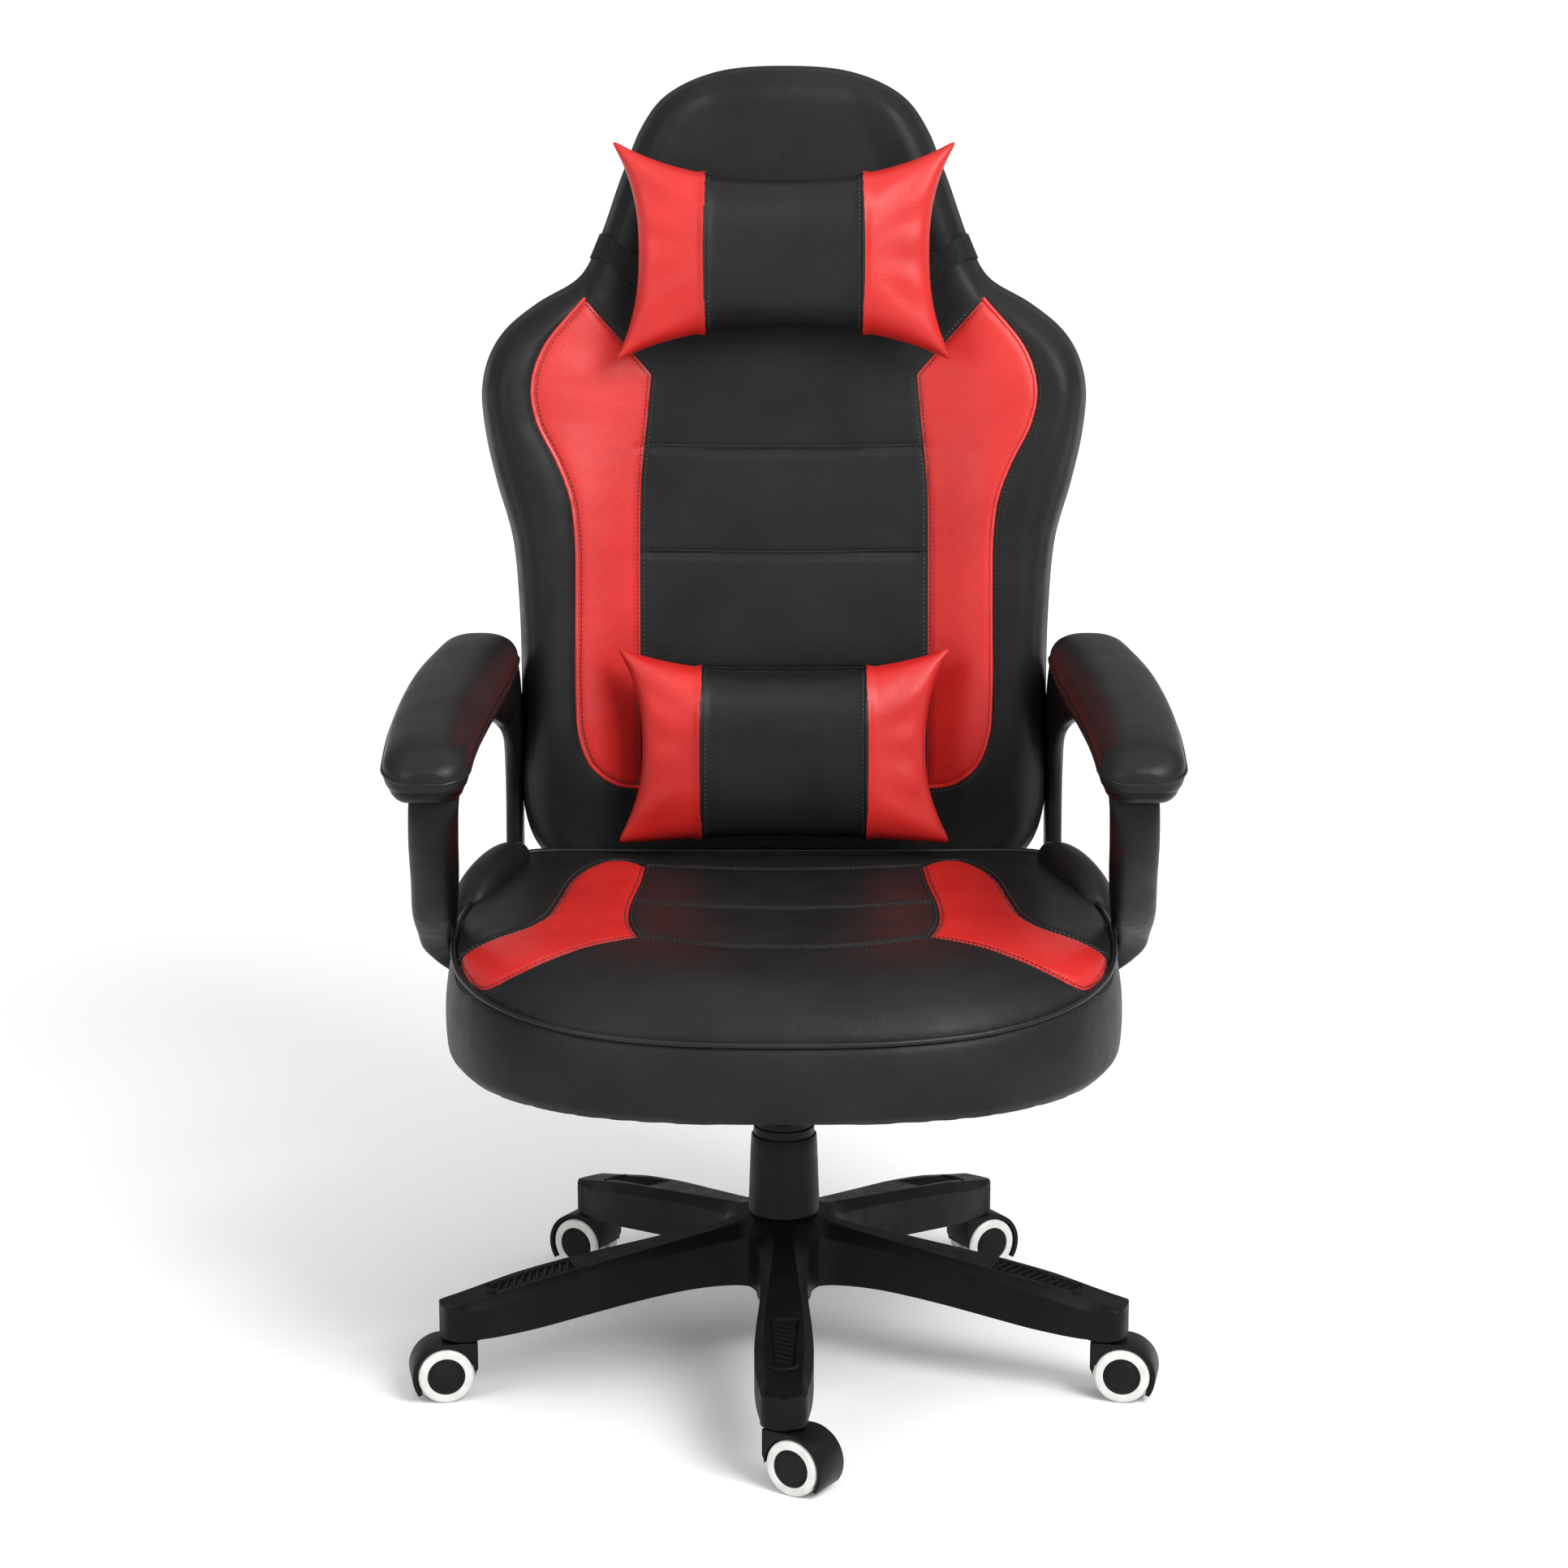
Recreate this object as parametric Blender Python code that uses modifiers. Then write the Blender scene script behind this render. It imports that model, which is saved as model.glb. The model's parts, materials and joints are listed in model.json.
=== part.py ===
"""Gaming chair with loop arms: five-leg base, gas lift, tilt mechanism, seat, backrest and pillows.

Metres, +Z up, the sitter faces -Y. The origin is on the floor, on the axis of the column.
"""

import math

import bmesh
import bpy
from mathutils import Matrix, Vector

GAP = 0.0003

# Base and casters
PIVOT_RADIUS = 0.300
LEG_COUNT = 5
HUB_RADIUS = 0.0375
HUB_TOP = 0.1435
HUB_BOTTOM = 0.078
SOCKET_BOTTOM = 0.0560
SOCKET_RADIUS = 0.0198
STEM_RADIUS = 0.0055
STEM_TOP = 0.0840
STEM_BOTTOM = 0.0473
LEG_CHAMFER = 0.0085
WHEEL_RADIUS = 0.0250
WHEEL_SIDES = 16
WHEEL_INNER = 0.0046
WHEEL_OUTER = 0.0195
CASTER_TRAIL = 0.0180
HOOD_RADIUS = 0.0300
HOOD_INNER_RADIUS = 0.0268
HOOD_HALF_WIDTH = 0.0185
HOOD_FRONT = -0.0285
AXLE_RADIUS = 0.0030
HUB_CAP = 0.0045
CASTER_YAW_DEG = {1: -32.0, 2: -10.0, 3: 30.0, 4: 150.0, 5: 190.0}

# Column and gas lift
TUBE_RADIUS = 0.0250
TUBE_BOTTOM = 0.0600
TUBE_TOP = 0.1700
CYLINDER_RADIUS = 0.0140
CYLINDER_BORE = 0.0120
CYLINDER_BOTTOM = 0.0820
CYLINDER_TOP = 0.2800
ROD_RADIUS = 0.0050
PIN_TOP = 0.2842
COVER_LOWER_TOP = 0.2150

# Tilt mechanism
HOUSING_BOTTOM = 0.2620
HOUSING_HALF_WIDTH = 0.0430
HOUSING_FRONT = -0.1050
HOUSING_REAR = 0.0350
HOUSING_WALL = 0.0025
HOUSING_TOP = 0.3045
TILT_PIN_Y = -0.0850
TILT_PIN_Z = 0.2960
TILT_PIN_RADIUS = 0.0040
TILT_PIN_HALF_LENGTH = 0.0520
SPRING_Y = -0.0480
SPRING_RADIUS = 0.0090
SPRING_WIRE = 0.0017
SPRING_TURNS = 4
LEVER_Y = -0.0650
LEVER_Z = 0.2880
LEVER_RADIUS = 0.0035
LEVER_INNER = -0.0140
LEVER_END = -0.1960
LEVER_FOOT_BOTTOM = 0.2845
LEVER_FOOT_TOP = 0.2890

# Seat
PLATE_BOTTOM = 0.3088
PLATE_THICKNESS = 0.0030
BOARD_THICKNESS = 0.0120
CUSHION_TOP = 0.4300

# Backrest: its front face passes through this point and leans back by this angle
BACK_Y = 0.1950
BACK_Z = 0.4300
BACK_LEAN = math.radians(7.5)
BACK_FOAM = 0.0300
BACK_BOARD = 0.0120
BACK_COVER = 0.0120

# Bolts that hold the arms: into the seat board from below, and through the arm into the back board
BOLT_RADIUS = 0.0030
BOLT_HOLE_RADIUS = 0.0032
BOLT_HEAD_RADIUS = 0.0070
ARM_BOLT_X = 0.2180
ARM_BOLT_Y = 0.1150
BACK_BOLT_Z = 0.5550
BACK_BOLT_HEAD_X = 0.2640

BLACK_LEATHER = ((0.028, 0.028, 0.029), 0.42, 0.0)
RED_LEATHER = ((0.72, 0.035, 0.040), 0.45, 0.0)
BLACK_PLASTIC = ((0.022, 0.022, 0.023), 0.50, 0.0)
PALE_TYRE = ((0.62, 0.62, 0.60), 0.55, 0.0)
STEEL = ((0.55, 0.56, 0.57), 0.30, 1.0)
PAINTED_STEEL = ((0.03, 0.03, 0.03), 0.40, 0.6)
PLYWOOD = ((0.60, 0.43, 0.26), 0.65, 0.0)
ELASTIC = ((0.015, 0.015, 0.015), 0.85, 0.0)


def clear_scene():
    for obj in list(bpy.data.objects):
        bpy.data.objects.remove(obj, do_unlink=True)


def new_collection(name, parent):
    group = bpy.data.collections.new(name)
    parent.children.link(group)
    return group


def dress(obj, look):
    """Gives the object its own Principled material: colour, roughness, metallic."""
    colour, roughness, metallic = look
    material = bpy.data.materials.new(obj.name)
    material.use_nodes = True
    shader = material.node_tree.nodes["Principled BSDF"]
    shader.inputs["Base Color"].default_value = (*colour, 1.0)
    shader.inputs["Roughness"].default_value = roughness
    shader.inputs["Metallic"].default_value = metallic
    obj.data.materials.clear()
    obj.data.materials.append(material)
    return obj


def place(name, mesh, look=None, helper=False):
    obj = bpy.data.objects.new(name, mesh)
    if helper:
        cutters.objects.link(obj)
        obj.hide_render = True
        obj.display_type = "WIRE"
    else:
        chair.objects.link(obj)
    return dress(obj, look) if look else obj


def empty(name, location, rotation=(0, 0, 0)):
    obj = bpy.data.objects.new(name, None)
    obj.location = location
    obj.rotation_euler = rotation
    chair.objects.link(obj)
    return obj


def hang(child, parent):
    """Parents without moving the child, whose numbers stay world numbers."""
    child.parent = parent
    child.matrix_parent_inverse = Matrix.LocRotScale(parent.location, parent.rotation_euler, None).inverted()


def finish_mesh(name, bm, smooth_angle=35):
    bmesh.ops.recalc_face_normals(bm, faces=bm.faces)
    mesh = bpy.data.meshes.new(name)
    bm.to_mesh(mesh)
    bm.free()
    mesh.shade_smooth()
    mesh.set_sharp_from_angle(angle=math.radians(smooth_angle))
    return mesh


def cylinder_mesh(name, radius, depth, sides, matrix=Matrix()):
    bm = bmesh.new()
    bmesh.ops.create_cone(
        bm, cap_ends=True, segments=sides, radius1=radius, radius2=radius, depth=depth, matrix=matrix
    )
    return finish_mesh(name, bm)


def box_mesh(name, low, high):
    low, high = Vector(low), Vector(high)
    bm = bmesh.new()
    scale = Matrix.Diagonal((*(high - low), 1))
    bmesh.ops.create_cube(bm, size=1, matrix=Matrix.Translation((low + high) / 2) @ scale)
    return finish_mesh(name, bm)


def turned(name, profile, look, steps=20, closed=False, spin_offset=0.0):
    """Turns a profile of (radius, height) points round Z; the outer side runs from top to bottom."""
    mesh = bpy.data.meshes.new(name)
    points = [(r * math.cos(spin_offset), r * math.sin(spin_offset), z) for r, z in profile]
    edges = [(i, i + 1) for i in range(len(points) - 1)]
    if closed:
        edges.append((len(points) - 1, 0))
    mesh.from_pydata(points, edges, [])
    obj = place(name, mesh, look)
    screw = obj.modifiers.new("turn", "SCREW")
    screw.axis = "Z"
    screw.angle = math.tau
    screw.steps = steps
    screw.render_steps = steps
    screw.use_merge_vertices = True
    screw.merge_threshold = 0.00001
    screw.use_smooth_shade = True
    return obj


def outline_mesh(name, outline, thickness, middle=0.0):
    """A flat plate in XY with this outline, its thickness centred on z = middle."""
    curve = bpy.data.curves.new(name, "CURVE")
    curve.dimensions = "2D"
    curve.fill_mode = "BOTH"
    curve.extrude = thickness / 2
    spline = curve.splines.new("POLY")
    spline.points.add(len(outline) - 1)
    for point, (x, y) in zip(spline.points, outline):
        point.co = (x, y, 0, 1)
    spline.use_cyclic_u = True
    guide = bpy.data.objects.new(name, curve)
    bpy.context.scene.collection.objects.link(guide)
    graph = bpy.context.evaluated_depsgraph_get()
    mesh = bpy.data.meshes.new_from_object(guide.evaluated_get(graph))
    bpy.data.objects.remove(guide)
    bm = bmesh.new()
    bm.from_mesh(mesh)
    bmesh.ops.remove_doubles(bm, verts=bm.verts, dist=0.00001)
    bmesh.ops.translate(bm, verts=bm.verts, vec=(0, 0, middle))
    return finish_mesh(name, bm)


def loft_mesh(name, sections, closed=False):
    """A skin through sections with equal point counts; an open loft gets a cap at each end."""
    bm = bmesh.new()
    rings = [[bm.verts.new(p) for p in section] for section in sections]
    count = len(rings[0])
    last = len(rings) if closed else len(rings) - 1
    for i in range(last):
        here, after = rings[i], rings[(i + 1) % len(rings)]
        for j in range(count):
            bm.faces.new((here[j], here[(j + 1) % count], after[(j + 1) % count], after[j]))
    if not closed:
        bm.faces.new(rings[0])
        bm.faces.new(rings[-1])
    return finish_mesh(name, bm)


def cut(obj, cutter, operation="DIFFERENCE"):
    boolean = obj.modifiers.new("cut", "BOOLEAN")
    boolean.operation = operation
    boolean.solver = "EXACT"
    if isinstance(cutter, bpy.types.Collection):
        boolean.operand_type = "COLLECTION"
        boolean.collection = cutter
    else:
        boolean.object = cutter
    return obj


def drill(obj, name, radius, depth, matrix, sides=16):
    return cut(obj, place(name, cylinder_mesh(name, radius, depth, sides, matrix), helper=True))


def soften(obj, width, segments=2):
    bevel = obj.modifiers.new("round", "BEVEL")
    bevel.width = width
    bevel.segments = segments
    bevel.limit_method = "ANGLE"
    bevel.angle_limit = math.radians(50)
    return obj


def along_x(x, y, z):
    return Matrix.Translation((x, y, z)) @ Matrix.Rotation(math.pi / 2, 4, "Y")


def mirrored(half):
    """A half outline from the front or top centre to the far centre, both ends on x = 0, made whole."""
    return half + [(-x, y) for x, y in reversed(half[1:-1])]


def pulled_in(outline, middle_y, x_share, y_share):
    """The outline shrunk by these shares of its size, towards (0, middle_y)."""
    return [(x * (1 - x_share), middle_y + (y - middle_y) * (1 - y_share)) for x, y in outline]


def leg_sections():
    """(radius, half width, top, bottom) of a base leg, from inside the hub to its rounded tip."""
    stations = (
        (0.015, 0.0225, 0.1400, 0.0862),
        (0.045, 0.0230, 0.1370, 0.0857),
        (0.126, 0.0225, 0.1235, 0.0803),
        (0.190, 0.0235, 0.1125, 0.0720),
        (0.245, 0.0255, 0.1020, 0.0640),
        (0.290, 0.0225, 0.0890, 0.0590),
        (0.314, 0.0190, 0.0795, 0.0580),
        (0.3205, 0.0120, 0.0745, 0.0585),
    )
    for radius, half, top, bottom in stations:
        shoulder = top - LEG_CHAMFER
        yield [
            (radius, -half, bottom),
            (radius, half, bottom),
            (radius, half, shoulder),
            (radius, half - LEG_CHAMFER, top),
            (radius, LEG_CHAMFER - half, top),
            (radius, -half, shoulder),
        ]


def build_base():
    """The star: hub, legs, caster sockets; hollow under each leg like a moulding."""
    joined = new_collection("base_star_unions", cutters)
    removed = new_collection("base_star_cuts", cutters)
    at = Matrix.Translation((0, 0, (HUB_TOP + HUB_BOTTOM) / 2))
    hub = cylinder_mesh("base_star", HUB_RADIUS, HUB_TOP - HUB_BOTTOM, 30, at)
    star = place("base_star", hub, BLACK_PLASTIC)
    socket_height = 0.012
    bore_bottom = 0.05
    bore_depth = STEM_TOP + GAP - bore_bottom
    for n in range(1, LEG_COUNT + 1):
        turn = Matrix.Rotation(-math.pi / 2 + (n - 1) * math.tau / LEG_COUNT, 4, "Z")
        leg = loft_mesh(f"leg_{n}", list(leg_sections()))
        socket_at = Matrix.Translation((PIVOT_RADIUS, 0, SOCKET_BOTTOM + socket_height / 2))
        socket = cylinder_mesh(f"socket_{n}", SOCKET_RADIUS, socket_height, 20, socket_at)
        hollow = loft_mesh(
            f"hollow_{n}",
            [
                [(r, -0.0165, bore_bottom), (r, 0.0165, bore_bottom), (r, 0.0145, top), (r, -0.0145, top)]
                for r, top in ((0.060, 0.1270), (0.150, 0.1130), (0.262, 0.0900))
            ],
        )
        bore_at = Matrix.Translation((PIVOT_RADIUS, 0, bore_bottom + bore_depth / 2))
        bore = cylinder_mesh(f"stem_bore_{n}", STEM_RADIUS + GAP, bore_depth, 16, bore_at)
        for mesh, group in ((leg, joined), (socket, joined), (hollow, removed), (bore, removed)):
            mesh.transform(turn)
            helper = place(mesh.name, mesh, helper=True)
            cutters.objects.unlink(helper)
            group.objects.link(helper)
    tube_bore = cylinder_mesh("tube_bore", TUBE_RADIUS + GAP, 0.2, 32, Matrix.Translation((0, 0, 0.1)))
    helper = place("tube_bore", tube_bore, helper=True)
    cutters.objects.unlink(helper)
    removed.objects.link(helper)
    cut(star, joined, "UNION")
    cut(star, removed)


def hood_edge(radius, front):
    """The hood's outer edge seen from the side, about its axle: fender arc behind, flat top, front edge."""
    arc = [math.radians(a) for a in range(-35, 98, 22)]
    rear = [(radius * math.cos(a), radius * math.sin(a)) for a in arc]
    return rear + [(-0.012, radius), (front, radius), (front, 0.0010)]


def fender_outline():
    """A thin cover over both treads."""
    outside = hood_edge(HOOD_RADIUS, HOOD_FRONT)
    over_the_treads = [(-HOOD_INNER_RADIUS, 0.0010), (-0.0215, 0.0165), (-0.0120, 0.0245)]
    inside = hood_edge(HOOD_INNER_RADIUS, HOOD_FRONT)[:-3]
    return outside + over_the_treads + inside[::-1]


def web_outline():
    """The wall between the wheels, which carries the axle."""
    sunk = 0.0008
    return hood_edge(HOOD_RADIUS - sunk, HOOD_FRONT + sunk) + [(-0.0080, -0.0140), (0.0100, -0.0180)]


def build_casters():
    """Twin-wheel casters. Local frame: pivot axis at x = y = 0, the axle trails along +X."""
    clearance = 0.0001
    axle_half = WHEEL_OUTER - HUB_CAP
    boss_bottom, boss_top = 0.0494, SOCKET_BOTTOM - 0.0006
    # The treads' flats touch the floor, so their corners stand a little farther out.
    corner = WHEEL_RADIUS / math.cos(math.pi / WHEEL_SIDES)
    for n in range(1, LEG_COUNT + 1):
        place_angle = -math.pi / 2 + (n - 1) * math.tau / LEG_COUNT
        pivot = (PIVOT_RADIUS * math.cos(place_angle), PIVOT_RADIUS * math.sin(place_angle), 0)
        root = empty(f"caster_{n}_axis", pivot, (0, 0, math.radians(CASTER_YAW_DEG[n])))

        side_on = Matrix.Translation((CASTER_TRAIL, 0, WHEEL_RADIUS)) @ Matrix.Rotation(math.pi / 2, 4, "X")
        fender = outline_mesh(f"caster_{n}_hood", fender_outline(), 2 * HOOD_HALF_WIDTH)
        fender.transform(side_on)
        hood = place(f"caster_{n}_hood", fender, BLACK_PLASTIC)
        web = outline_mesh(f"caster_{n}_web", web_outline(), 0.0080)
        web.transform(side_on)
        boss_at = Matrix.Translation((0, 0, (boss_bottom + boss_top) / 2))
        boss = cylinder_mesh(f"caster_{n}_boss", 0.0095, boss_top - boss_bottom, 16, boss_at)
        for mesh in (web, boss):
            helper = place(mesh.name, mesh, helper=True)
            helper.parent = root
            cut(hood, helper, "UNION")
        axle_hole = cylinder_mesh(f"caster_{n}_axle_hole", AXLE_RADIUS + clearance, 0.05, 12)
        axle_hole.transform(side_on)
        stem_hole_at = Matrix.Translation((0, 0, STEM_BOTTOM + 0.0097))
        stem_hole = cylinder_mesh(f"caster_{n}_stem_hole", STEM_RADIUS + clearance, 0.0200, 16, stem_hole_at)
        for mesh in (axle_hole, stem_hole):
            helper = place(mesh.name, mesh, helper=True)
            helper.parent = root
            cut(hood, helper)

        stem = turned(
            f"caster_{n}_stem",
            [(0, STEM_TOP), (STEM_RADIUS - 0.001, STEM_TOP), (STEM_RADIUS, STEM_TOP - 0.001),
             (STEM_RADIUS, STEM_BOTTOM), (0, STEM_BOTTOM)],
            STEEL, steps=12,
        )
        axle = turned(
            f"caster_{n}_axle",
            [(0, axle_half), (AXLE_RADIUS, axle_half), (AXLE_RADIUS, -axle_half), (0, -axle_half)],
            STEEL, steps=12,
        )
        axle.location = (CASTER_TRAIL, 0, WHEEL_RADIUS)
        axle.rotation_euler = (math.pi / 2, 0, 0)
        bore = AXLE_RADIUS + clearance
        profile = [
            (0, WHEEL_OUTER), (0.0225, WHEEL_OUTER - 0.0006), (corner, WHEEL_OUTER - 0.0040),
            (corner, WHEEL_INNER), (bore, WHEEL_INNER), (bore, axle_half + GAP), (0, axle_half + GAP),
        ]
        for side, turn in (("left", math.pi / 2), ("right", -math.pi / 2)):
            wheel = turned(
                f"caster_{n}_wheel_{side}", profile, PALE_TYRE, WHEEL_SIDES,
                spin_offset=math.pi / 2 + math.pi / WHEEL_SIDES,
            )
            wheel.location = (CASTER_TRAIL, 0, WHEEL_RADIUS)
            wheel.rotation_euler = (turn, 0, 0)
            wheel.parent = root
        for piece in (hood, stem, axle):
            piece.parent = root


def build_column():
    """Gas lift in its tube, with the three telescopic covers round it. Returns the lift's axis."""
    lift = empty("gas_lift_axis", (0, 0, CYLINDER_BOTTOM))
    floor_top = TUBE_BOTTOM + 0.0035
    turned(
        "gas_outer_tube",
        [(TUBE_RADIUS, TUBE_TOP), (TUBE_RADIUS, TUBE_BOTTOM), (ROD_RADIUS + GAP, TUBE_BOTTOM),
         (ROD_RADIUS + GAP, floor_top), (TUBE_RADIUS - 0.0015, floor_top), (TUBE_RADIUS - 0.0015, TUBE_TOP)],
        PAINTED_STEEL, closed=True,
    )
    bush_outer, bush_inner = TUBE_RADIUS - 0.0015 - GAP, CYLINDER_RADIUS + GAP
    turned(
        "guide_bush",
        [(bush_outer, TUBE_TOP), (bush_outer, 0.110), (bush_inner, 0.110), (bush_inner, TUBE_TOP)],
        BLACK_PLASTIC, steps=20, closed=True,
    )
    turned(
        "thrust_bearing",
        [(0.0125, floor_top + 0.0063), (0.0125, floor_top + GAP), (ROD_RADIUS + GAP, floor_top + GAP),
         (ROD_RADIUS + GAP, floor_top + 0.0063)],
        STEEL, steps=16, closed=True,
    )
    head_bottom, head_top = 0.1750, 0.1850
    turned(
        "gas_piston_rod",
        [(0, head_top), (CYLINDER_BORE - GAP, head_top), (CYLINDER_BORE - GAP, head_bottom),
         (ROD_RADIUS, head_bottom), (ROD_RADIUS, 0.0560), (0, 0.0560)],
        STEEL, steps=16,
    )
    gland = 0.006
    cylinder = turned(
        "gas_cylinder",
        [(CYLINDER_RADIUS, CYLINDER_TOP), (CYLINDER_RADIUS, CYLINDER_BOTTOM),
         (ROD_RADIUS + GAP, CYLINDER_BOTTOM), (ROD_RADIUS + GAP, CYLINDER_BOTTOM + gland),
         (CYLINDER_BORE, CYLINDER_BOTTOM + gland), (CYLINDER_BORE, CYLINDER_TOP - gland),
         (0.0034, CYLINDER_TOP - gland), (0.0034, CYLINDER_TOP)],
        STEEL, closed=True,
    )
    pin = turned(
        "release_pin",
        [(0, PIN_TOP), (0.0030, PIN_TOP), (0.0030, CYLINDER_TOP - gland - GAP),
         (0.0050, CYLINDER_TOP - gland - GAP), (0.0050, 0.2660), (0, 0.2660)],
        STEEL, steps=12,
    )
    turned(
        "cover_lower",
        [(0.0285, COVER_LOWER_TOP), (0.0295, COVER_LOWER_TOP - 0.001), (0.0322, HUB_TOP + GAP),
         (0.0302, HUB_TOP + GAP), (0.0280, COVER_LOWER_TOP - 0.002), (0.0280, COVER_LOWER_TOP)],
        BLACK_PLASTIC, closed=True,
    )
    middle = turned(
        "cover_middle",
        [(0.0276, 0.2240), (0.0276, 0.1500), (0.0263, 0.1500), (0.0263, 0.2240)],
        BLACK_PLASTIC, closed=True,
    )
    upper_top = HOUSING_BOTTOM - GAP
    upper = turned(
        "cover_upper",
        [(0.0259, upper_top), (0.0259, 0.1780), (0.0246, 0.1780), (0.0246, upper_top)],
        BLACK_PLASTIC, closed=True,
    )
    for piece in (cylinder, pin, upper, middle):
        hang(piece, lift)
    return lift


def build_mechanism(lift):
    """Tilt housing with its pin, spring, tension knob and height lever."""
    floor_top = HOUSING_BOTTOM + HOUSING_WALL
    side_view = [
        (HOUSING_FRONT, HOUSING_BOTTOM), (HOUSING_REAR, HOUSING_BOTTOM), (HOUSING_REAR, 0.2810),
        (-0.0620, HOUSING_TOP - 0.0020), (-0.0700, HOUSING_TOP), (HOUSING_FRONT, HOUSING_TOP),
    ]
    to_side = Matrix.Rotation(math.pi / 2, 4, "Z") @ Matrix.Rotation(math.pi / 2, 4, "X")
    body = outline_mesh("tilt_housing", side_view, 2 * HOUSING_HALF_WIDTH)
    body.transform(to_side)
    housing = place("tilt_housing", body, PAINTED_STEEL)
    inside = HOUSING_HALF_WIDTH - HOUSING_WALL
    pocket = box_mesh(
        "housing_pocket",
        (-inside, HOUSING_FRONT + HOUSING_WALL, floor_top),
        (inside, HOUSING_REAR - HOUSING_WALL, 0.3300),
    )
    cut(housing, place("housing_pocket", pocket, helper=True))
    boss_top = CYLINDER_TOP - 0.002
    boss = cylinder_mesh(
        "housing_boss", 0.0205, boss_top - HOUSING_BOTTOM - 0.001, 24,
        Matrix.Translation((0, 0, (boss_top + HOUSING_BOTTOM + 0.001) / 2)),
    )
    cut(housing, place("housing_boss", boss, helper=True), "UNION")
    drill(housing, "housing_bore", CYLINDER_RADIUS + GAP, 0.06, Matrix.Translation((0, 0, 0.27)), 24)
    drill(housing, "housing_pin_holes", TILT_PIN_RADIUS + 0.0001, 0.12, along_x(0, TILT_PIN_Y, TILT_PIN_Z))
    drill(housing, "housing_bolt_hole", 0.0044, 0.02, Matrix.Translation((0, SPRING_Y, HOUSING_BOTTOM)))
    lever_slot = box_mesh(
        "housing_lever_slot",
        (-0.06, LEVER_Y - LEVER_RADIUS - 0.001, LEVER_Z - LEVER_RADIUS - 0.001),
        (-0.035, LEVER_Y + LEVER_RADIUS + 0.001, HOUSING_TOP + 0.01),
    )
    cut(housing, place("housing_lever_slot", lever_slot, helper=True))

    pin = turned(
        "tilt_pin",
        [(0, TILT_PIN_HALF_LENGTH), (TILT_PIN_RADIUS, TILT_PIN_HALF_LENGTH),
         (TILT_PIN_RADIUS, -TILT_PIN_HALF_LENGTH), (0, -TILT_PIN_HALF_LENGTH)],
        STEEL, steps=16,
    )
    pin.location = (0, TILT_PIN_Y, TILT_PIN_Z)
    pin.rotation_euler = (0, math.pi / 2, 0)

    coil = bpy.data.curves.new("tension_spring", "CURVE")
    coil.dimensions = "3D"
    coil.bevel_depth = SPRING_WIRE
    coil.bevel_resolution = 0
    coil.use_fill_caps = True
    spline = coil.splines.new("POLY")
    per_turn = 10
    count = SPRING_TURNS * per_turn + 1
    spline.points.add(count - 1)
    low = floor_top + GAP + SPRING_WIRE
    high = PLATE_BOTTOM - GAP - SPRING_WIRE
    for i, point in enumerate(spline.points):
        angle = math.tau * i / per_turn
        x, y = SPRING_RADIUS * math.cos(angle), SPRING_Y + SPRING_RADIUS * math.sin(angle)
        point.co = (x, y, low + (high - low) * i / (count - 1), 1)
    spring = bpy.data.objects.new("tension_spring", coil)
    chair.objects.link(spring)
    dress(spring, STEEL)

    knob_top = HOUSING_BOTTOM - GAP
    knob = turned(
        "tension_knob",
        [(0, 0.2860), (0.0040, 0.2860), (0.0040, knob_top), (0.0130, knob_top), (0.0160, knob_top - 0.003),
         (0.0160, 0.2430), (0.0140, 0.2410), (0, 0.2410)],
        BLACK_PLASTIC, steps=16,
    )
    knob.location = (0, SPRING_Y, 0)

    rod_at = along_x((LEVER_INNER + LEVER_END) / 2, LEVER_Y, LEVER_Z)
    rod_mesh = cylinder_mesh("height_lever", LEVER_RADIUS, LEVER_INNER - LEVER_END, 10, rod_at)
    rod = place("height_lever", rod_mesh, STEEL)
    # A flat arm runs from the rod past the spring, then its foot turns in over the release pin.
    arm_outer = LEVER_INNER - 0.0080
    for name, low, high in (
        ("lever_arm", (arm_outer, LEVER_Y), (LEVER_INNER, 0.0040)),
        ("lever_foot", (LEVER_INNER - 0.0010, -0.0040), (0.0040, 0.0040)),
    ):
        strip = box_mesh(name, (*low, LEVER_FOOT_BOTTOM), (*high, LEVER_FOOT_TOP))
        cut(rod, place(name, strip, helper=True), "UNION")
    grip_mesh = box_mesh(
        "lever_handle", (-0.2300, LEVER_Y - 0.0130, 0.2800), (-0.1760, LEVER_Y + 0.0130, LEVER_Z + 0.0045)
    )
    grip = soften(place("lever_handle", grip_mesh, BLACK_PLASTIC), 0.0030)
    grip_depth = 0.0200
    socket = along_x(LEVER_END + grip_depth, LEVER_Y, LEVER_Z)
    drill(grip, "handle_bore", LEVER_RADIUS + 0.0002, 2 * grip_depth + 2 * GAP, socket, 10)
    for piece in (housing, pin, spring, knob, rod, grip):
        hang(piece, lift)


def seat_outline(inset=0.0):
    """Plan of the seat, front centre first; inset pulls it in towards its middle."""
    half = [
        (0.0, -0.2870), (0.1000, -0.2800), (0.1800, -0.2570), (0.2450, -0.2030), (0.2830, -0.1300),
        (0.2895, -0.0600), (0.2825, 0.0000), (0.2640, 0.0400), (0.2610, 0.1150), (0.2385, 0.1580),
        (0.2340, 0.1780), (0.0, 0.1780),
    ]
    return mirrored(pulled_in(half, -0.05, inset / 0.28, inset / 0.23))


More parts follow.
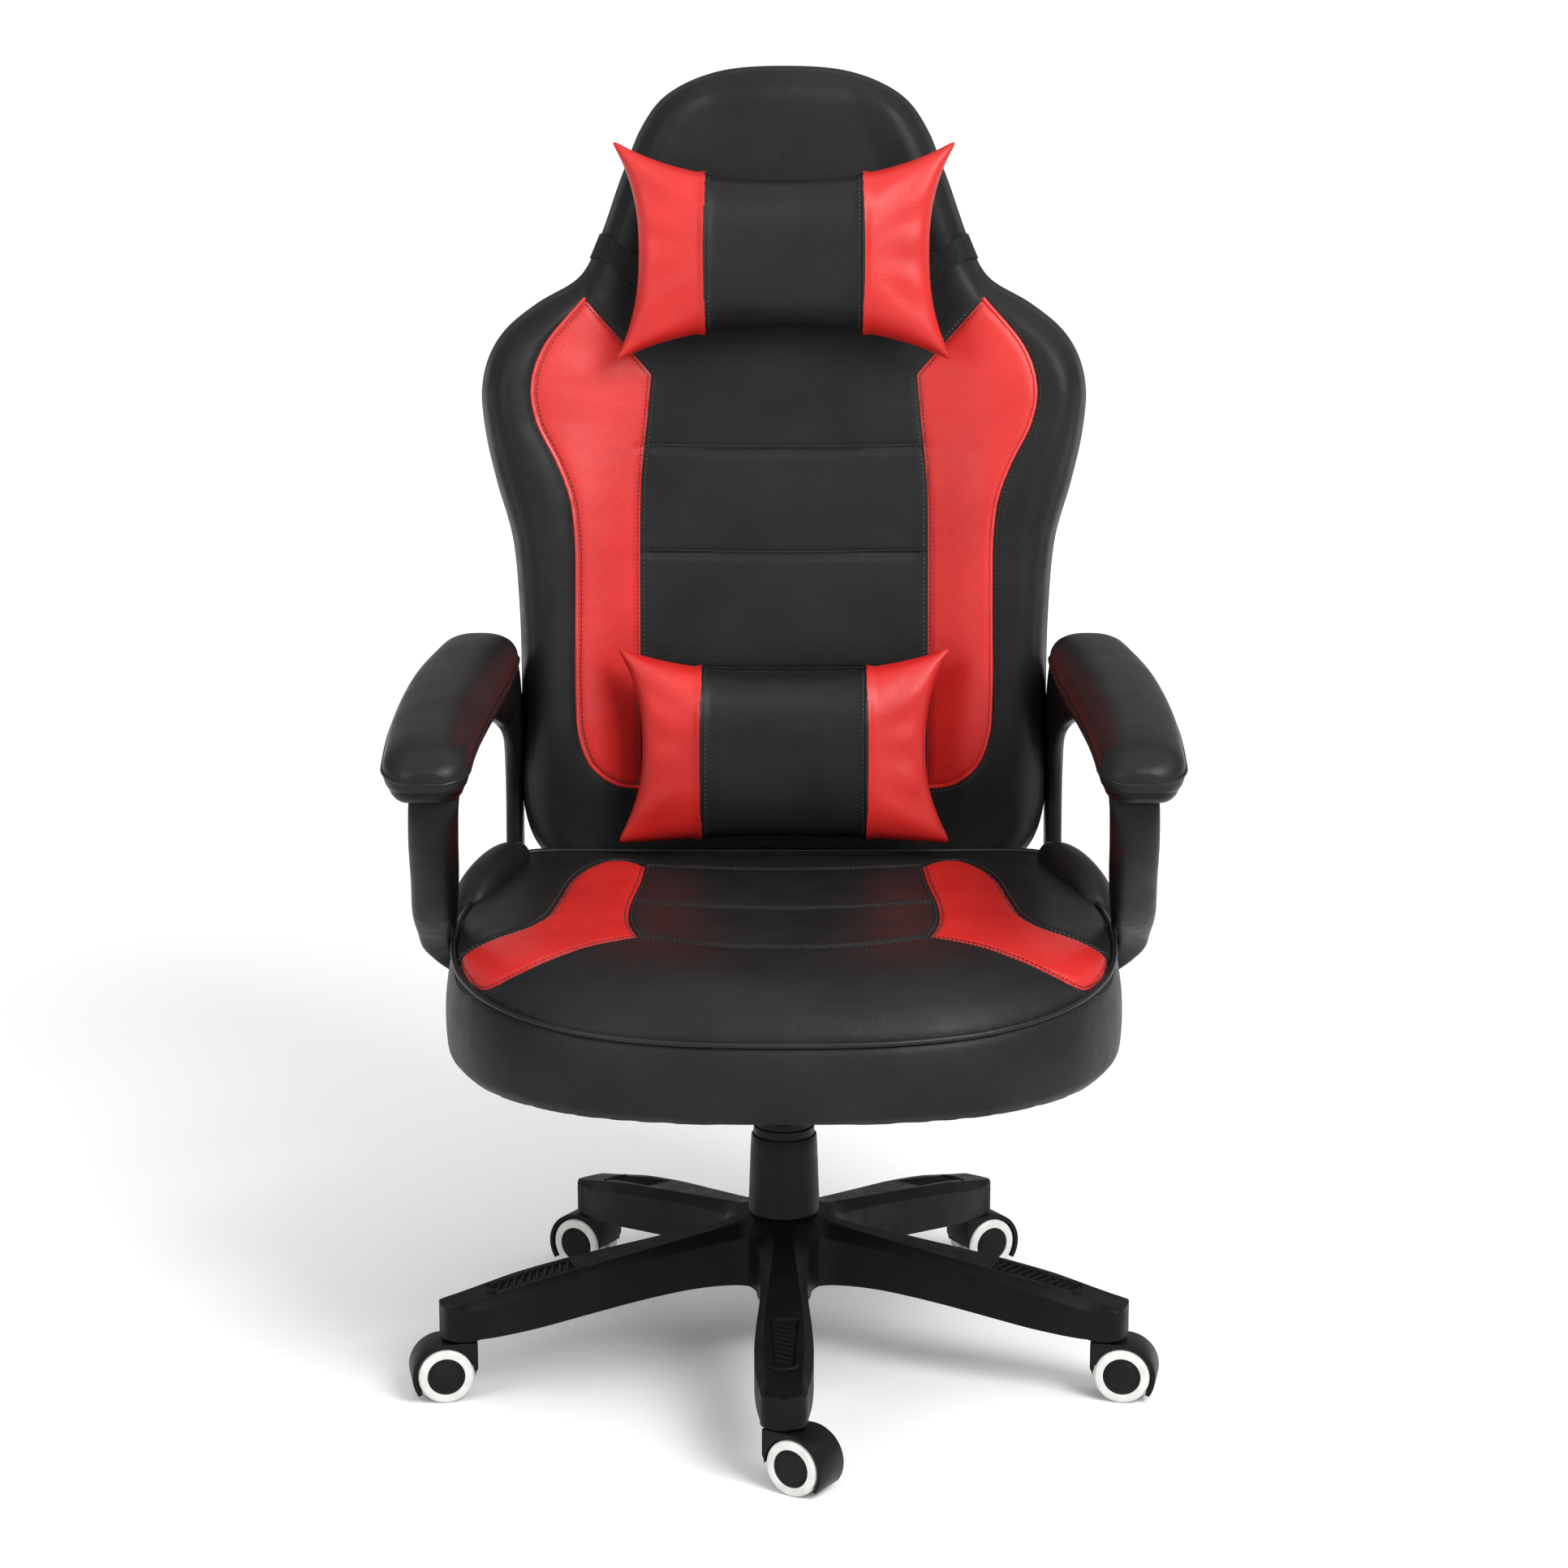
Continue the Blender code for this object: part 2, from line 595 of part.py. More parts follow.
def build_seat(tilt):
    plate_top = PLATE_BOTTOM + PLATE_THICKNESS
    plate_mesh = box_mesh("seat_plate", (-0.085, -0.110, PLATE_BOTTOM), (0.085, 0.085, plate_top))
    plate = place("seat_plate", plate_mesh, PAINTED_STEEL)
    ear_inner = HOUSING_HALF_WIDTH + 0.0010
    for side in (-1, 1):
        low_x, high_x = sorted((side * ear_inner, side * (ear_inner + 0.0030)))
        low = (low_x, TILT_PIN_Y - 0.012, TILT_PIN_Z - 0.011)
        high = (high_x, TILT_PIN_Y + 0.012, PLATE_BOTTOM + 0.001)
        ear = box_mesh(f"plate_ear_{side}", low, high)
        cut(plate, place(f"plate_ear_{side}", ear, helper=True), "UNION")
    drill(plate, "plate_window", 0.0180, 0.02, Matrix.Translation((0, 0, PLATE_BOTTOM)), 20)
    drill(plate, "plate_pin_holes", TILT_PIN_RADIUS + 0.0001, 0.12, along_x(0, TILT_PIN_Y, TILT_PIN_Z))

    board_bottom = plate_top + GAP
    board_top = board_bottom + BOARD_THICKNESS
    board_middle = (board_bottom + board_top) / 2
    board_mesh = outline_mesh("seat_board", seat_outline(0.030), BOARD_THICKNESS, board_middle)
    board = place("seat_board", board_mesh, PLYWOOD)

    cushion_bottom = board_top + GAP
    cushion_mesh = outline_mesh(
        "seat_cushion", seat_outline(), CUSHION_TOP - cushion_bottom, (CUSHION_TOP + cushion_bottom) / 2
    )
    cushion = soften(place("seat_cushion", cushion_mesh, BLACK_LEATHER), 0.022, 2)
    pieces = [plate, board, cushion]
    for side, word in ((1, "left"), (-1, "right")):
        low_x, high_x = sorted((side * 0.2650, side * 0.2990))
        name = f"seat_bolster_{word}"
        bolster_mesh = box_mesh(name, (low_x, 0.0460, 0.3720), (high_x, 0.1480, 0.4520))
        bolster = place(name, bolster_mesh, BLACK_LEATHER)
        pieces.append(soften(bolster, 0.014, 2))
        bolt_name = f"seat_bolt_{word}"
        bolt = turned(
            bolt_name,
            [(0, board_top - 0.001), (BOLT_RADIUS, board_top - 0.001), (BOLT_RADIUS, 0.2980),
             (BOLT_HEAD_RADIUS, 0.2980), (BOLT_HEAD_RADIUS, 0.2935), (0, 0.2935)],
            STEEL, steps=12,
        )
        bolt.location = (side * ARM_BOLT_X, ARM_BOLT_Y, 0)
        hole_at = Matrix.Translation((side * ARM_BOLT_X, ARM_BOLT_Y, board_bottom))
        drill(board, f"board_{bolt_name}_hole", BOLT_HOLE_RADIUS, 0.05, hole_at, 12)
        pieces.append(bolt)
    for piece in pieces:
        hang(piece, tilt)


def back_outline(inset=0.0):
    """Backrest seen square on, (x, height above BACK_Z along the face), top centre first."""
    half = [
        (0.0, 0.7230), (0.0640, 0.7170), (0.1090, 0.6950), (0.1300, 0.6660), (0.1400, 0.6420),
        (0.1490, 0.6190), (0.1700, 0.5610), (0.1870, 0.5300), (0.2265, 0.5060), (0.2560, 0.4820),
        (0.2700, 0.4600), (0.2770, 0.4310), (0.2740, 0.3900), (0.2640, 0.3450), (0.2490, 0.2910),
        (0.2430, 0.2240), (0.2415, 0.1620), (0.2400, 0.0350), (0.2260, 0.0000), (0.1900, -0.0250),
        (0.0, -0.0300),
    ]
    return mirrored(pulled_in(half, 0.35, inset / 0.24, inset / 0.37))


def build_back(tilt):
    """Layers square to the leaning face: foam in front, board, rear cover."""
    pieces = []
    board_front = -BACK_FOAM - GAP
    cover_front = board_front - BACK_BOARD - GAP
    cover_rear = -BACK_FOAM - BACK_BOARD - BACK_COVER
    layers = (
        ("back_cushion", 0.0, -BACK_FOAM, 0.0, BLACK_LEATHER, 0.010),
        ("back_board", board_front, board_front - BACK_BOARD, 0.012, PLYWOOD, 0),
        ("back_cover", cover_front, cover_rear, 0.002, BLACK_LEATHER, 0.005),
    )
    for name, front, rear, inset, look, rounding in layers:
        mesh = outline_mesh(name, back_outline(inset), front - rear, (front + rear) / 2)
        layer = place(name, mesh, look)
        layer.location = (0, BACK_Y, BACK_Z)
        layer.rotation_euler = (math.pi / 2 - BACK_LEAN, 0, 0)
        if rounding:
            soften(layer, rounding)
        pieces.append(layer)
    for side, word in ((1, "left"), (-1, "right")):
        at_y, at_z = rear_leg_y(BACK_BOLT_Z), BACK_BOLT_Z
        bolt = turned(
            f"back_bolt_{word}",
            [(0, BACK_BOLT_HEAD_X), (0.0065, BACK_BOLT_HEAD_X), (0.0065, BACK_BOLT_HEAD_X - 0.0035),
             (BOLT_RADIUS, BACK_BOLT_HEAD_X - 0.0035), (BOLT_RADIUS, 0.2150), (0, 0.2150)],
            STEEL, steps=12,
        )
        bolt.location = (0, at_y, at_z)
        bolt.rotation_euler = (0, side * math.pi / 2, 0)
        board = pieces[1]
        drill(board, f"board_back_hole_{word}", BOLT_HOLE_RADIUS, 0.06, along_x(side * 0.235, at_y, at_z), 12)
        pieces.append(bolt)
    for piece in pieces:
        hang(piece, tilt)


def rear_leg_y(z):
    """The arm's rear leg runs beside the back board, at its depth."""
    face_y = BACK_Y + (z - BACK_Z) * math.tan(BACK_LEAN)
    return face_y + (BACK_FOAM + GAP + BACK_BOARD / 2) / math.cos(BACK_LEAN)


def arm_stations(side):
    """(centre, wide direction, half width, half thickness) round the closed loop of one arm."""
    across = Vector((1, 0, 0))
    stations = [
        ((0.2970, -0.1620, 0.5580), across, 0.0210, 0.0100),
        ((0.3000, -0.1400, 0.5250), across, 0.0215, 0.0110),
        ((0.3040, -0.0900, 0.4780), across, 0.0210, 0.0110),
        ((0.3105, -0.0350, 0.4320), across, 0.0200, 0.0110),
        ((0.3130, 0.0100, 0.3950), across, 0.0160, 0.0100),
        ((0.3070, 0.0300, 0.3640), Vector((0.9, 0, 0.44)), 0.0120, 0.0090),
        ((0.2910, 0.0440, 0.3210), Vector((0.8, 0.3, 0.5)), 0.0090, 0.0070),
        ((0.2580, 0.0700, 0.3035), Vector((0.4, 1, 0)), 0.0160, 0.0050),
        ((0.2330, 0.1050, 0.3050), across, 0.0300, 0.0050),
        ((0.2360, 0.1500, 0.3050), across, 0.0230, 0.0050),
        ((0.2420, 0.1900, 0.3080), across, 0.0120, 0.0070),
        ((0.2510, rear_leg_y(0.33), 0.3350), across, 0.0085, 0.0170),
        ((0.2510, rear_leg_y(0.42), 0.4200), across, 0.0085, 0.0170),
        ((0.2510, rear_leg_y(0.52), 0.5200), across, 0.0085, 0.0170),
        ((0.2515, rear_leg_y(0.59), 0.5900), across, 0.0085, 0.0170),
        ((0.2640, 0.1700, 0.6080), across, 0.0130, 0.0100),
        ((0.2790, 0.0900, 0.6040), across, 0.0190, 0.0085),
        ((0.2870, 0.0000, 0.5960), across, 0.0210, 0.0085),
        ((0.2930, -0.0900, 0.5860), across, 0.0215, 0.0085),
        ((0.2960, -0.1450, 0.5780), across, 0.0215, 0.0080),
    ]
    flip = Vector((side, 1, 1))
    return [(Vector(c) * flip, w * flip, hw, ht) for c, w, hw, ht in stations]


def loop_sections(stations):
    """Eight-sided sections with cut corners, square to the loop's run."""
    count = len(stations)
    sections = []
    for i, (centre, wide, half_width, half_thick) in enumerate(stations):
        run = (stations[(i + 1) % count][0] - stations[i - 1][0]).normalized()
        thick = run.cross(wide).normalized()
        wide = thick.cross(run).normalized()
        corner = 0.4 * min(half_width, half_thick)
        section = []
        for u, v in (
            (half_width, half_thick - corner), (half_width - corner, half_thick),
            (corner - half_width, half_thick), (-half_width, half_thick - corner),
            (-half_width, corner - half_thick), (corner - half_width, -half_thick),
            (half_width - corner, -half_thick), (half_width, corner - half_thick),
        ):
            section.append(centre + wide * u + thick * v)
        sections.append(section)
    return sections


def pad_sections(side):
    """(y, centre x, half width, top, bottom) along an arm pad, front to rear."""
    stations = (
        (-0.2060, 0.2970, 0.0240, 0.6000, 0.5905),
        (-0.1980, 0.2970, 0.0350, 0.6100, 0.5880),
        (-0.1500, 0.2955, 0.0385, 0.6180, 0.5878),
        (-0.0600, 0.2910, 0.0365, 0.6290, 0.5985),
        (0.0400, 0.2840, 0.0320, 0.6380, 0.6095),
        (0.1000, 0.2780, 0.0270, 0.6440, 0.6140),
        (0.1340, 0.2760, 0.0200, 0.6440, 0.6190),
        (0.1400, 0.2760, 0.0120, 0.6380, 0.6230),
    )
    sections = []
    for y, x, half, top, bottom in stations:
        tall = top - bottom
        section = []
        for u, v in (
            (1, 0.45), (0.85, 0.82), (0.5, 1), (-0.5, 1), (-0.85, 0.82),
            (-1, 0.45), (-0.94, 0.12), (-0.7, 0), (0.7, 0), (0.94, 0.12),
        ):
            section.append((side * (x + half * u), y, bottom + tall * v))
        sections.append(section)
    return sections


def build_arms(tilt):
    for side, word in ((1, "left"), (-1, "right")):
        name = f"arm_frame_{word}"
        frame = place(name, loft_mesh(name, loop_sections(arm_stations(side)), closed=True), BLACK_PLASTIC)
        back_hole_at = along_x(side * 0.25, rear_leg_y(BACK_BOLT_Z), BACK_BOLT_Z)
        seat_hole_at = Matrix.Translation((side * ARM_BOLT_X, ARM_BOLT_Y, PLATE_BOTTOM))
        drill(frame, f"{name}_back_hole", BOLT_HOLE_RADIUS, 0.05, back_hole_at, 12)
        drill(frame, f"{name}_seat_hole", BOLT_HOLE_RADIUS, 0.03, seat_hole_at, 12)
        pad_name = f"arm_pad_{word}"
        pad = place(pad_name, loft_mesh(pad_name, pad_sections(side)), BLACK_LEATHER)
        for piece in (frame, pad):
            hang(piece, tilt)


def pillow_outline(waist, corner, top, bottom, top_dip, bottom_dip):
    """A pillow seen square on: pointed corners, with hollowed sides, top and bottom."""
    middle = (top + bottom) / 2
    return mirrored([
        (0.0, top - top_dip), (corner * 0.45, top - top_dip * 0.85), (corner * 0.98, top),
        (waist + (corner - waist) * 0.25, middle + (top - middle) * 0.5), (waist, middle),
        (waist + (corner - waist) * 0.25, middle + (bottom - middle) * 0.5), (corner * 0.98, bottom),
        (corner * 0.45, bottom + bottom_dip * 0.85), (0.0, bottom + bottom_dip),
    ])


def build_pillows(tilt):
    """Both pillows lie on the leaning front face; the head pillow's strap goes round the neck."""
    face = ((0, BACK_Y, BACK_Z), (math.pi / 2 - BACK_LEAN, 0, 0))
    sizes = {
        "head_pillow": (0.1330, 0.1560, 0.6540, 0.4660, 0.0330, 0.0260, 0.0030, 0.0680),
        "lumbar_pillow": (0.1300, 0.1520, 0.1950, 0.0160, 0.0220, 0.0060, 0.0010, 0.0700),
    }
    for name, (waist, corner, top, bottom, top_dip, bottom_dip, rear, front) in sizes.items():
        outline = pillow_outline(waist, corner, top, bottom, top_dip, bottom_dip)
        pillow = place(name, outline_mesh(name, outline, front - rear, (front + rear) / 2), RED_LEATHER)
        pillow.location, pillow.rotation_euler = face
        soften(pillow, 0.012, 2)
        slide = empty(f"{name}_slide", *face)
        hang(pillow, slide)
        hang(slide, tilt)

    wall = 0.0012
    depth_rear = -BACK_FOAM - BACK_BOARD - BACK_COVER
    rings = []
    for x_half, y in ((0.1880, 0.5360), (0.1760, 0.5620)):
        for grow in (0.0, wall):
            front, rear = 0.0010 + grow, depth_rear - 0.0010 - grow
            x = x_half + grow
            rings.append([(x, y, front), (-x, y, front), (-x, y, rear), (x, y, rear)])
    inner_low, outer_low, inner_high, outer_high = rings
    strap_mesh = loft_mesh("head_strap", [inner_low, outer_low, outer_high, inner_high], closed=True)
    strap = place("head_strap", strap_mesh, ELASTIC)
    strap.location, strap.rotation_euler = face
    hang(strap, bpy.data.objects["head_pillow_slide"])


clear_scene()
chair = new_collection("gaming_chair", bpy.context.scene.collection)
cutters = new_collection("cutters", bpy.context.scene.collection)
cutters.hide_render = True

build_base()
build_casters()
lift_axis = build_column()
build_mechanism(lift_axis)
tilt_axis = empty("seat_tilt_axis", (0, TILT_PIN_Y, TILT_PIN_Z))
hang(tilt_axis, lift_axis)
build_seat(tilt_axis)
build_back(tilt_axis)
build_arms(tilt_axis)
build_pillows(tilt_axis)
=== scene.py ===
"""The looks of the gaming chair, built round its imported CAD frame.

Metres, +Z up. The sitter faces -Y, and +X is the sitter's left.
"""

import json
import math

import bmesh
import bpy
import numpy as np
from mathutils import Matrix, Vector
from mathutils.bvhtree import BVHTree


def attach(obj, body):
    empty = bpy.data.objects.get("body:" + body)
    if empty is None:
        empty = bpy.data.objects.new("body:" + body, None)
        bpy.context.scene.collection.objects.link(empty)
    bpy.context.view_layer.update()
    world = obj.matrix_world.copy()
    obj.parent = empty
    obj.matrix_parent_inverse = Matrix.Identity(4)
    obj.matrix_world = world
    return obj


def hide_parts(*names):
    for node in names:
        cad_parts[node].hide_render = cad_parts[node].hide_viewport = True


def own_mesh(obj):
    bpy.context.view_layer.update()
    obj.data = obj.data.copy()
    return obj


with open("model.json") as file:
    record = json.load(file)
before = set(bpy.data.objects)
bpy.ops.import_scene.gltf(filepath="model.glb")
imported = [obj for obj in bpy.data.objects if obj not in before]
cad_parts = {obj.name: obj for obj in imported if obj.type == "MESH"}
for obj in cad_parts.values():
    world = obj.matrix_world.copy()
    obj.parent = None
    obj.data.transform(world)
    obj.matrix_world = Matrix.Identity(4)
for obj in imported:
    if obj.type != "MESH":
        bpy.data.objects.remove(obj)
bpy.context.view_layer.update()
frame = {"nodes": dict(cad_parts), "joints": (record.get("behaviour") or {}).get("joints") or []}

scene = bpy.context.scene
joints = {joint["name"]: joint for joint in frame["joints"]}
SIDES = ((1, "left"), (-1, "right"))
SEAM_SIDE = 0.0032    # from a seam to the stitches beside it
FAR = 1.0    # as good as no seam near

# The backrest's front face passes through (0, BACK_Y, BACK_Z) and leans back with the pillows' slides.
BACK_Y = 0.195
BACK_Z = 0.43
BACK_LEAN = math.atan2(joints["head_pillow_slide"]["axis"][1], joints["head_pillow_slide"]["axis"][2])
BACK_PLACE = Matrix.Translation((0, BACK_Y, BACK_Z)) @ Matrix.Rotation(math.pi / 2 - BACK_LEAN, 4, "X")


# ---- curves and fields

def spline(points, step=0.004, closed=False):
    """A smooth path through points of any dimension, resampled at about this step."""
    p = np.array(points, float)
    if closed:
        p = np.vstack([p[-1:], p, p[:2]])
    else:
        p = np.vstack([2 * p[:1] - p[1:2], p, 2 * p[-1:] - p[-2:-1]])
    knots = np.r_[0, np.cumsum(np.linalg.norm(np.diff(p, axis=0), axis=1) ** 0.5)]
    slope = np.diff(p, axis=0) / np.diff(knots)[:, None]
    before, after = np.diff(knots)[:-1, None], np.diff(knots)[1:, None]
    tangent = (slope[:-1] * after + slope[1:] * before) / (before + after)
    s = np.linspace(0, 1, 24, endpoint=False)[:, None]
    dense = []
    for i in range(1, len(p) - 2):
        gap = knots[i + 1] - knots[i]
        dense.append(
            (2 * s**3 - 3 * s**2 + 1) * p[i] + (s**3 - 2 * s**2 + s) * gap * tangent[i - 1]
            + (3 * s**2 - 2 * s**3) * p[i + 1] + (s**3 - s**2) * gap * tangent[i]
        )
    dense = np.vstack([*dense, p[-2:-1]])
    along = np.r_[0, np.cumsum(np.linalg.norm(np.diff(dense, axis=0), axis=1))]
    at = np.linspace(0, along[-1], max(2, round(along[-1] / step)) + 1)
    even = np.stack([np.interp(at, along, dense[:, k]) for k in range(dense.shape[1])], axis=1)
    return even[:-1] if closed else even


def mirrored(half):
    """A half outline whose two ends lie on x = 0, made whole."""
    half = np.array(half, float)
    return np.vstack([half, half[-2:0:-1] * (-1, 1)])


def flip_x(path):
    """The flat path mirrored, and run the other way round."""
    return (path * (-1, 1))[::-1]


def beside(path, offset, closed=False):
    """The flat path moved this far to its right."""
    run = np.roll(path, -1, axis=0) - np.roll(path, 1, axis=0) if closed else np.gradient(path, axis=0)
    run /= np.linalg.norm(run, axis=1)[:, None]
    return path + offset * run[:, ::-1] * (1, -1)


def nearest(points, path, closed=False):
    """For each 2D point: its distance to the path, and the unit direction from the path to the point."""
    start = path if closed else path[:-1]
    run = (np.roll(path, -1, axis=0) if closed else path[1:]) - start
    square = (run**2).sum(1)
    away = np.empty((len(points), 2))
    chunk = 4000    # keeps the arrays small
    for first in range(0, len(points), chunk):
        q = points[first:first + chunk, None, :] - start[None]
        share = np.clip((q * run).sum(2) / square, 0, 1)
        gap = q - share[..., None] * run
        best = (gap**2).sum(2).argmin(1)
        away[first:first + chunk] = gap[np.arange(len(best)), best]
    distance = np.linalg.norm(away, axis=1)
    return distance, away / np.maximum(distance, 1e-9)[:, None]


def inside(points, loop):
    x, y = points[:, 0], points[:, 1]
    odd = np.zeros(len(points), bool)
    for (ax, ay), (bx, by) in zip(loop, np.roll(loop, -1, axis=0)):
        if ay != by:
            odd ^= ((ay > y) != (by > y)) & (x < (bx - ax) * (y - ay) / (by - ay) + ax)
    return odd


def edge_field(points, loop):
    """For each 2D point: its distance to a closed loop, whether it is inside, and the direction outwards."""
    distance, away = nearest(points, loop, closed=True)
    within = inside(points, loop)
    return distance, within, np.where(within[:, None], -away, away)


def signed(points, *loops):
    """How far inside any of the closed loops each point is, negative outside them all."""
    fields = [edge_field(points, loop) for loop in loops]
    return np.max([np.where(within, distance, -distance) for distance, within, _ in fields], axis=0)


def to_seams(points, loops, paths):
    """Distance to the nearest of these closed loops and open paths."""
    return np.min([nearest(points, loop, closed=True)[0] for loop in loops]
                  + [nearest(points, path)[0] for path in paths], axis=0)


def smoothstep(low, high, x):
    t = np.clip((x - low) / (high - low), 0, 1)
    return t * t * (3 - 2 * t)


def quarter_round(depth, radius):
    """How far an edge rounded to this radius lies below its face, at this depth inside it."""
    near = np.clip(radius - depth, 0, radius)
    return radius - np.sqrt(radius**2 - near**2)


def fillet(corners):
    """The closed polygon through (x, y, radius) corners, each rounded to about its radius."""
    p = np.array(corners, float)
    out = []
    for i, (*here, radius) in enumerate(p):
        before, after = p[i - 1, :2] - here, p[(i + 1) % len(p), :2] - here
        reach = min(radius, 0.49 * np.linalg.norm(before), 0.49 * np.linalg.norm(after))
        a = here + before / np.linalg.norm(before) * reach
        b = here + after / np.linalg.norm(after) * reach
        out += [(1 - t) ** 2 * a + 2 * t * (1 - t) * np.array(here) + t * t * b for t in np.linspace(0, 1, 5)]
    return np.array(out)


def arc(radius, start, end, count):
    angles = np.radians(np.linspace(start, end, count))
    return np.stack([radius * np.cos(angles), radius * np.sin(angles)], axis=1)


def read(curve, at, column=1):
    """The curve's value in this column where its first column has this value."""
    return np.interp(at, *np.array(curve)[:, (0, column)].T)


# ---- meshes

def put(target, **values):
    """Sets several attributes of a Blender item."""
    for name, value in values.items():
        setattr(target, name, value)
    return target


def linked(name, data):
    """A new object of the scene with this mesh, light or camera."""
    obj = bpy.data.objects.new(name, data)
    scene.collection.objects.link(obj)
    return obj


def vectors(items, key):
    flat = np.empty(len(items) * 3, np.float32)
    items.foreach_get(key, flat)
    return flat.reshape(-1, 3).astype(float)


def coords(mesh):
    return vectors(mesh.vertices, "co")


def set_coords(mesh, points):
    mesh.vertices.foreach_set("co", points.astype(np.float32).ravel())
    mesh.update()


def join_doubles(mesh, distance, top_up=False):
    """Merges points closer than this and turns the normals out; with top_up, the highest face looks up."""
    bm = bmesh.new()
    bm.from_mesh(mesh)
    bmesh.ops.remove_doubles(bm, verts=bm.verts, dist=distance)
    bmesh.ops.recalc_face_normals(bm, faces=bm.faces)
    if top_up and max(bm.faces, key=lambda face: face.calc_center_median().z).normal.z < 0:
        bmesh.ops.reverse_faces(bm, faces=bm.faces)
    bm.to_mesh(mesh)
    bm.free()


def piece(name, vertices, faces, sharp=40, weld=1e-6):
    """A new object from vertices and faces, with its normals out and its doubled points merged."""
    mesh = bpy.data.meshes.new(name)
    mesh.from_pydata([tuple(map(float, v)) for v in vertices], [], [tuple(map(int, f)) for f in faces])
    join_doubles(mesh, weld)
    return shade(linked(name, mesh), sharp)


def shade(obj, sharp=40):
    obj.data.shade_smooth()
    obj.data.set_sharp_from_angle(angle=math.radians(sharp))
    return obj


def bake(obj, sharp=None):
    """Replaces the object's mesh by what its modifiers make of it."""
    bpy.context.view_layer.update()
    graph = bpy.context.evaluated_depsgraph_get()
    mesh = bpy.data.meshes.new_from_object(obj.evaluated_get(graph))
    obj.modifiers.clear()
    obj.data = mesh
    if sharp:
        shade(obj, sharp)
    return obj


def subdivided(obj):
    put(obj.modifiers.new("subdivide", "SUBSURF"), levels=1, render_levels=1)
    return bake(obj)


def rounded(obj, width, angle):
    """Adds a modifier that rounds the edges sharper than this angle."""
    put(obj.modifiers.new("round", "BEVEL"), width=width, segments=2, limit_method="ANGLE",
        angle_limit=math.radians(angle))
    return obj


def grid_faces(rows, columns, wrap_rows=False, wrap_columns=True):
    faces = []
    for i in range(rows if wrap_rows else rows - 1):
        for j in range(columns if wrap_columns else columns - 1):
            this, below, right = i * columns, (i + 1) % rows * columns, (j + 1) % columns
            faces.append([this + j, this + right, below + right, below + j])
    return faces


def loft(name, rings, closed=False, sharp=40):
    """A closed skin through rings that all have the same number of points."""
    rings = np.array(rings, float)
    rows, columns = rings.shape[:2]
    faces = grid_faces(rows, columns, wrap_rows=closed)
    if not closed:
        faces += [range(columns), range((rows - 1) * columns, rows * columns)]
    return piece(name, rings.reshape(-1, 3), faces, sharp)


def lathe(name, profile, steps=64, closed=False, sharp=35):
    """Turns a profile of (radius, height) points round Z."""
    profile = np.array(profile, float)
    turns = np.linspace(0, math.tau, steps, endpoint=False)
    rings = [np.stack([profile[:, 0] * math.cos(a), profile[:, 0] * math.sin(a), profile[:, 1]], axis=1)
             for a in turns]
    faces = grid_faces(steps, len(profile), wrap_rows=True, wrap_columns=closed)
    return piece(name, np.array(rings).reshape(-1, 3), faces, sharp)


def prism(name, loop, low, high):
    """A plate with this outline in XY, from z = low to z = high."""
    count = len(loop)
    vertices = [(x, y, low) for x, y in loop] + [(x, y, high) for x, y in loop]
    sides = [(i, (i + 1) % count, count + (i + 1) % count, count + i) for i in range(count)]
    return piece(name, vertices, [range(count), range(count, 2 * count), *sides])


def even_block(name, loop, high, voxel):
    """A prism from z = 0 to high, remeshed into small even faces."""
    block = prism(name, loop, 0, high)
    put(block.modifiers.new("even", "REMESH"), mode="VOXEL", voxel_size=voxel)
    return bake(block)


def tube(path, radius, sides=8, closed=False):
    """(vertices, faces) of a round tube along a 3D path."""
    path = np.array(path, float)
    ahead = np.roll(path, -1, axis=0) - np.roll(path, 1, axis=0)
    if not closed:
        ahead[0], ahead[-1] = path[1] - path[0], path[-1] - path[-2]
    ahead /= np.linalg.norm(ahead, axis=1)[:, None]
    normal = np.cross(ahead[0], (0.31, 0.47, 0.83))
    rings = []
    angles = np.linspace(0, math.tau, sides, endpoint=False)
    for point, direction in zip(path, ahead):
        normal = normal - direction * (normal @ direction)
        normal /= np.linalg.norm(normal)
        side = np.cross(direction, normal)
        rings.append([point + radius * (math.cos(a) * normal + math.sin(a) * side) for a in angles])
    count = len(path)
    faces = grid_faces(count, sides, wrap_rows=closed)
    if not closed:
        faces += [list(range(sides)), list(range((count - 1) * sides, count * sides))]
    return np.array(rings).reshape(-1, 3), faces


def merged(name, parts, sharp=40):
    """One object from several (vertices, faces) pairs."""
    vertices, faces, total = [], [], 0
    for part_vertices, part_faces in parts:
        vertices.append(part_vertices)
        faces += [[total + i for i in face] for face in part_faces]
        total += len(part_vertices)
    return piece(name, np.vstack(vertices), faces, sharp, weld=1e-7)


def tree_of(obj):
    """A BVH of the object's mesh in its own coordinates."""
    mesh = obj.data
    return BVHTree.FromPolygons([v.co for v in mesh.vertices], [p.vertices for p in mesh.polygons])


def drop(bvh, path, lift, direction=(0, 0, -1)):
    """A flat path dropped on to a surface from a metre away: (points lifted off it, normals)."""
    direction = Vector(direction)
    points, normals = [], []
    for x, y in path:
        hit, normal, _, _ = bvh.ray_cast(Vector((x, y, 0)) - direction, direction)
        if hit is None:
            continue
        if normal.dot(direction) > 0:
            normal = -normal
        points.append(np.array(hit + normal * lift))
        normals.append(np.array(normal))
    return np.array(points), np.array(normals)


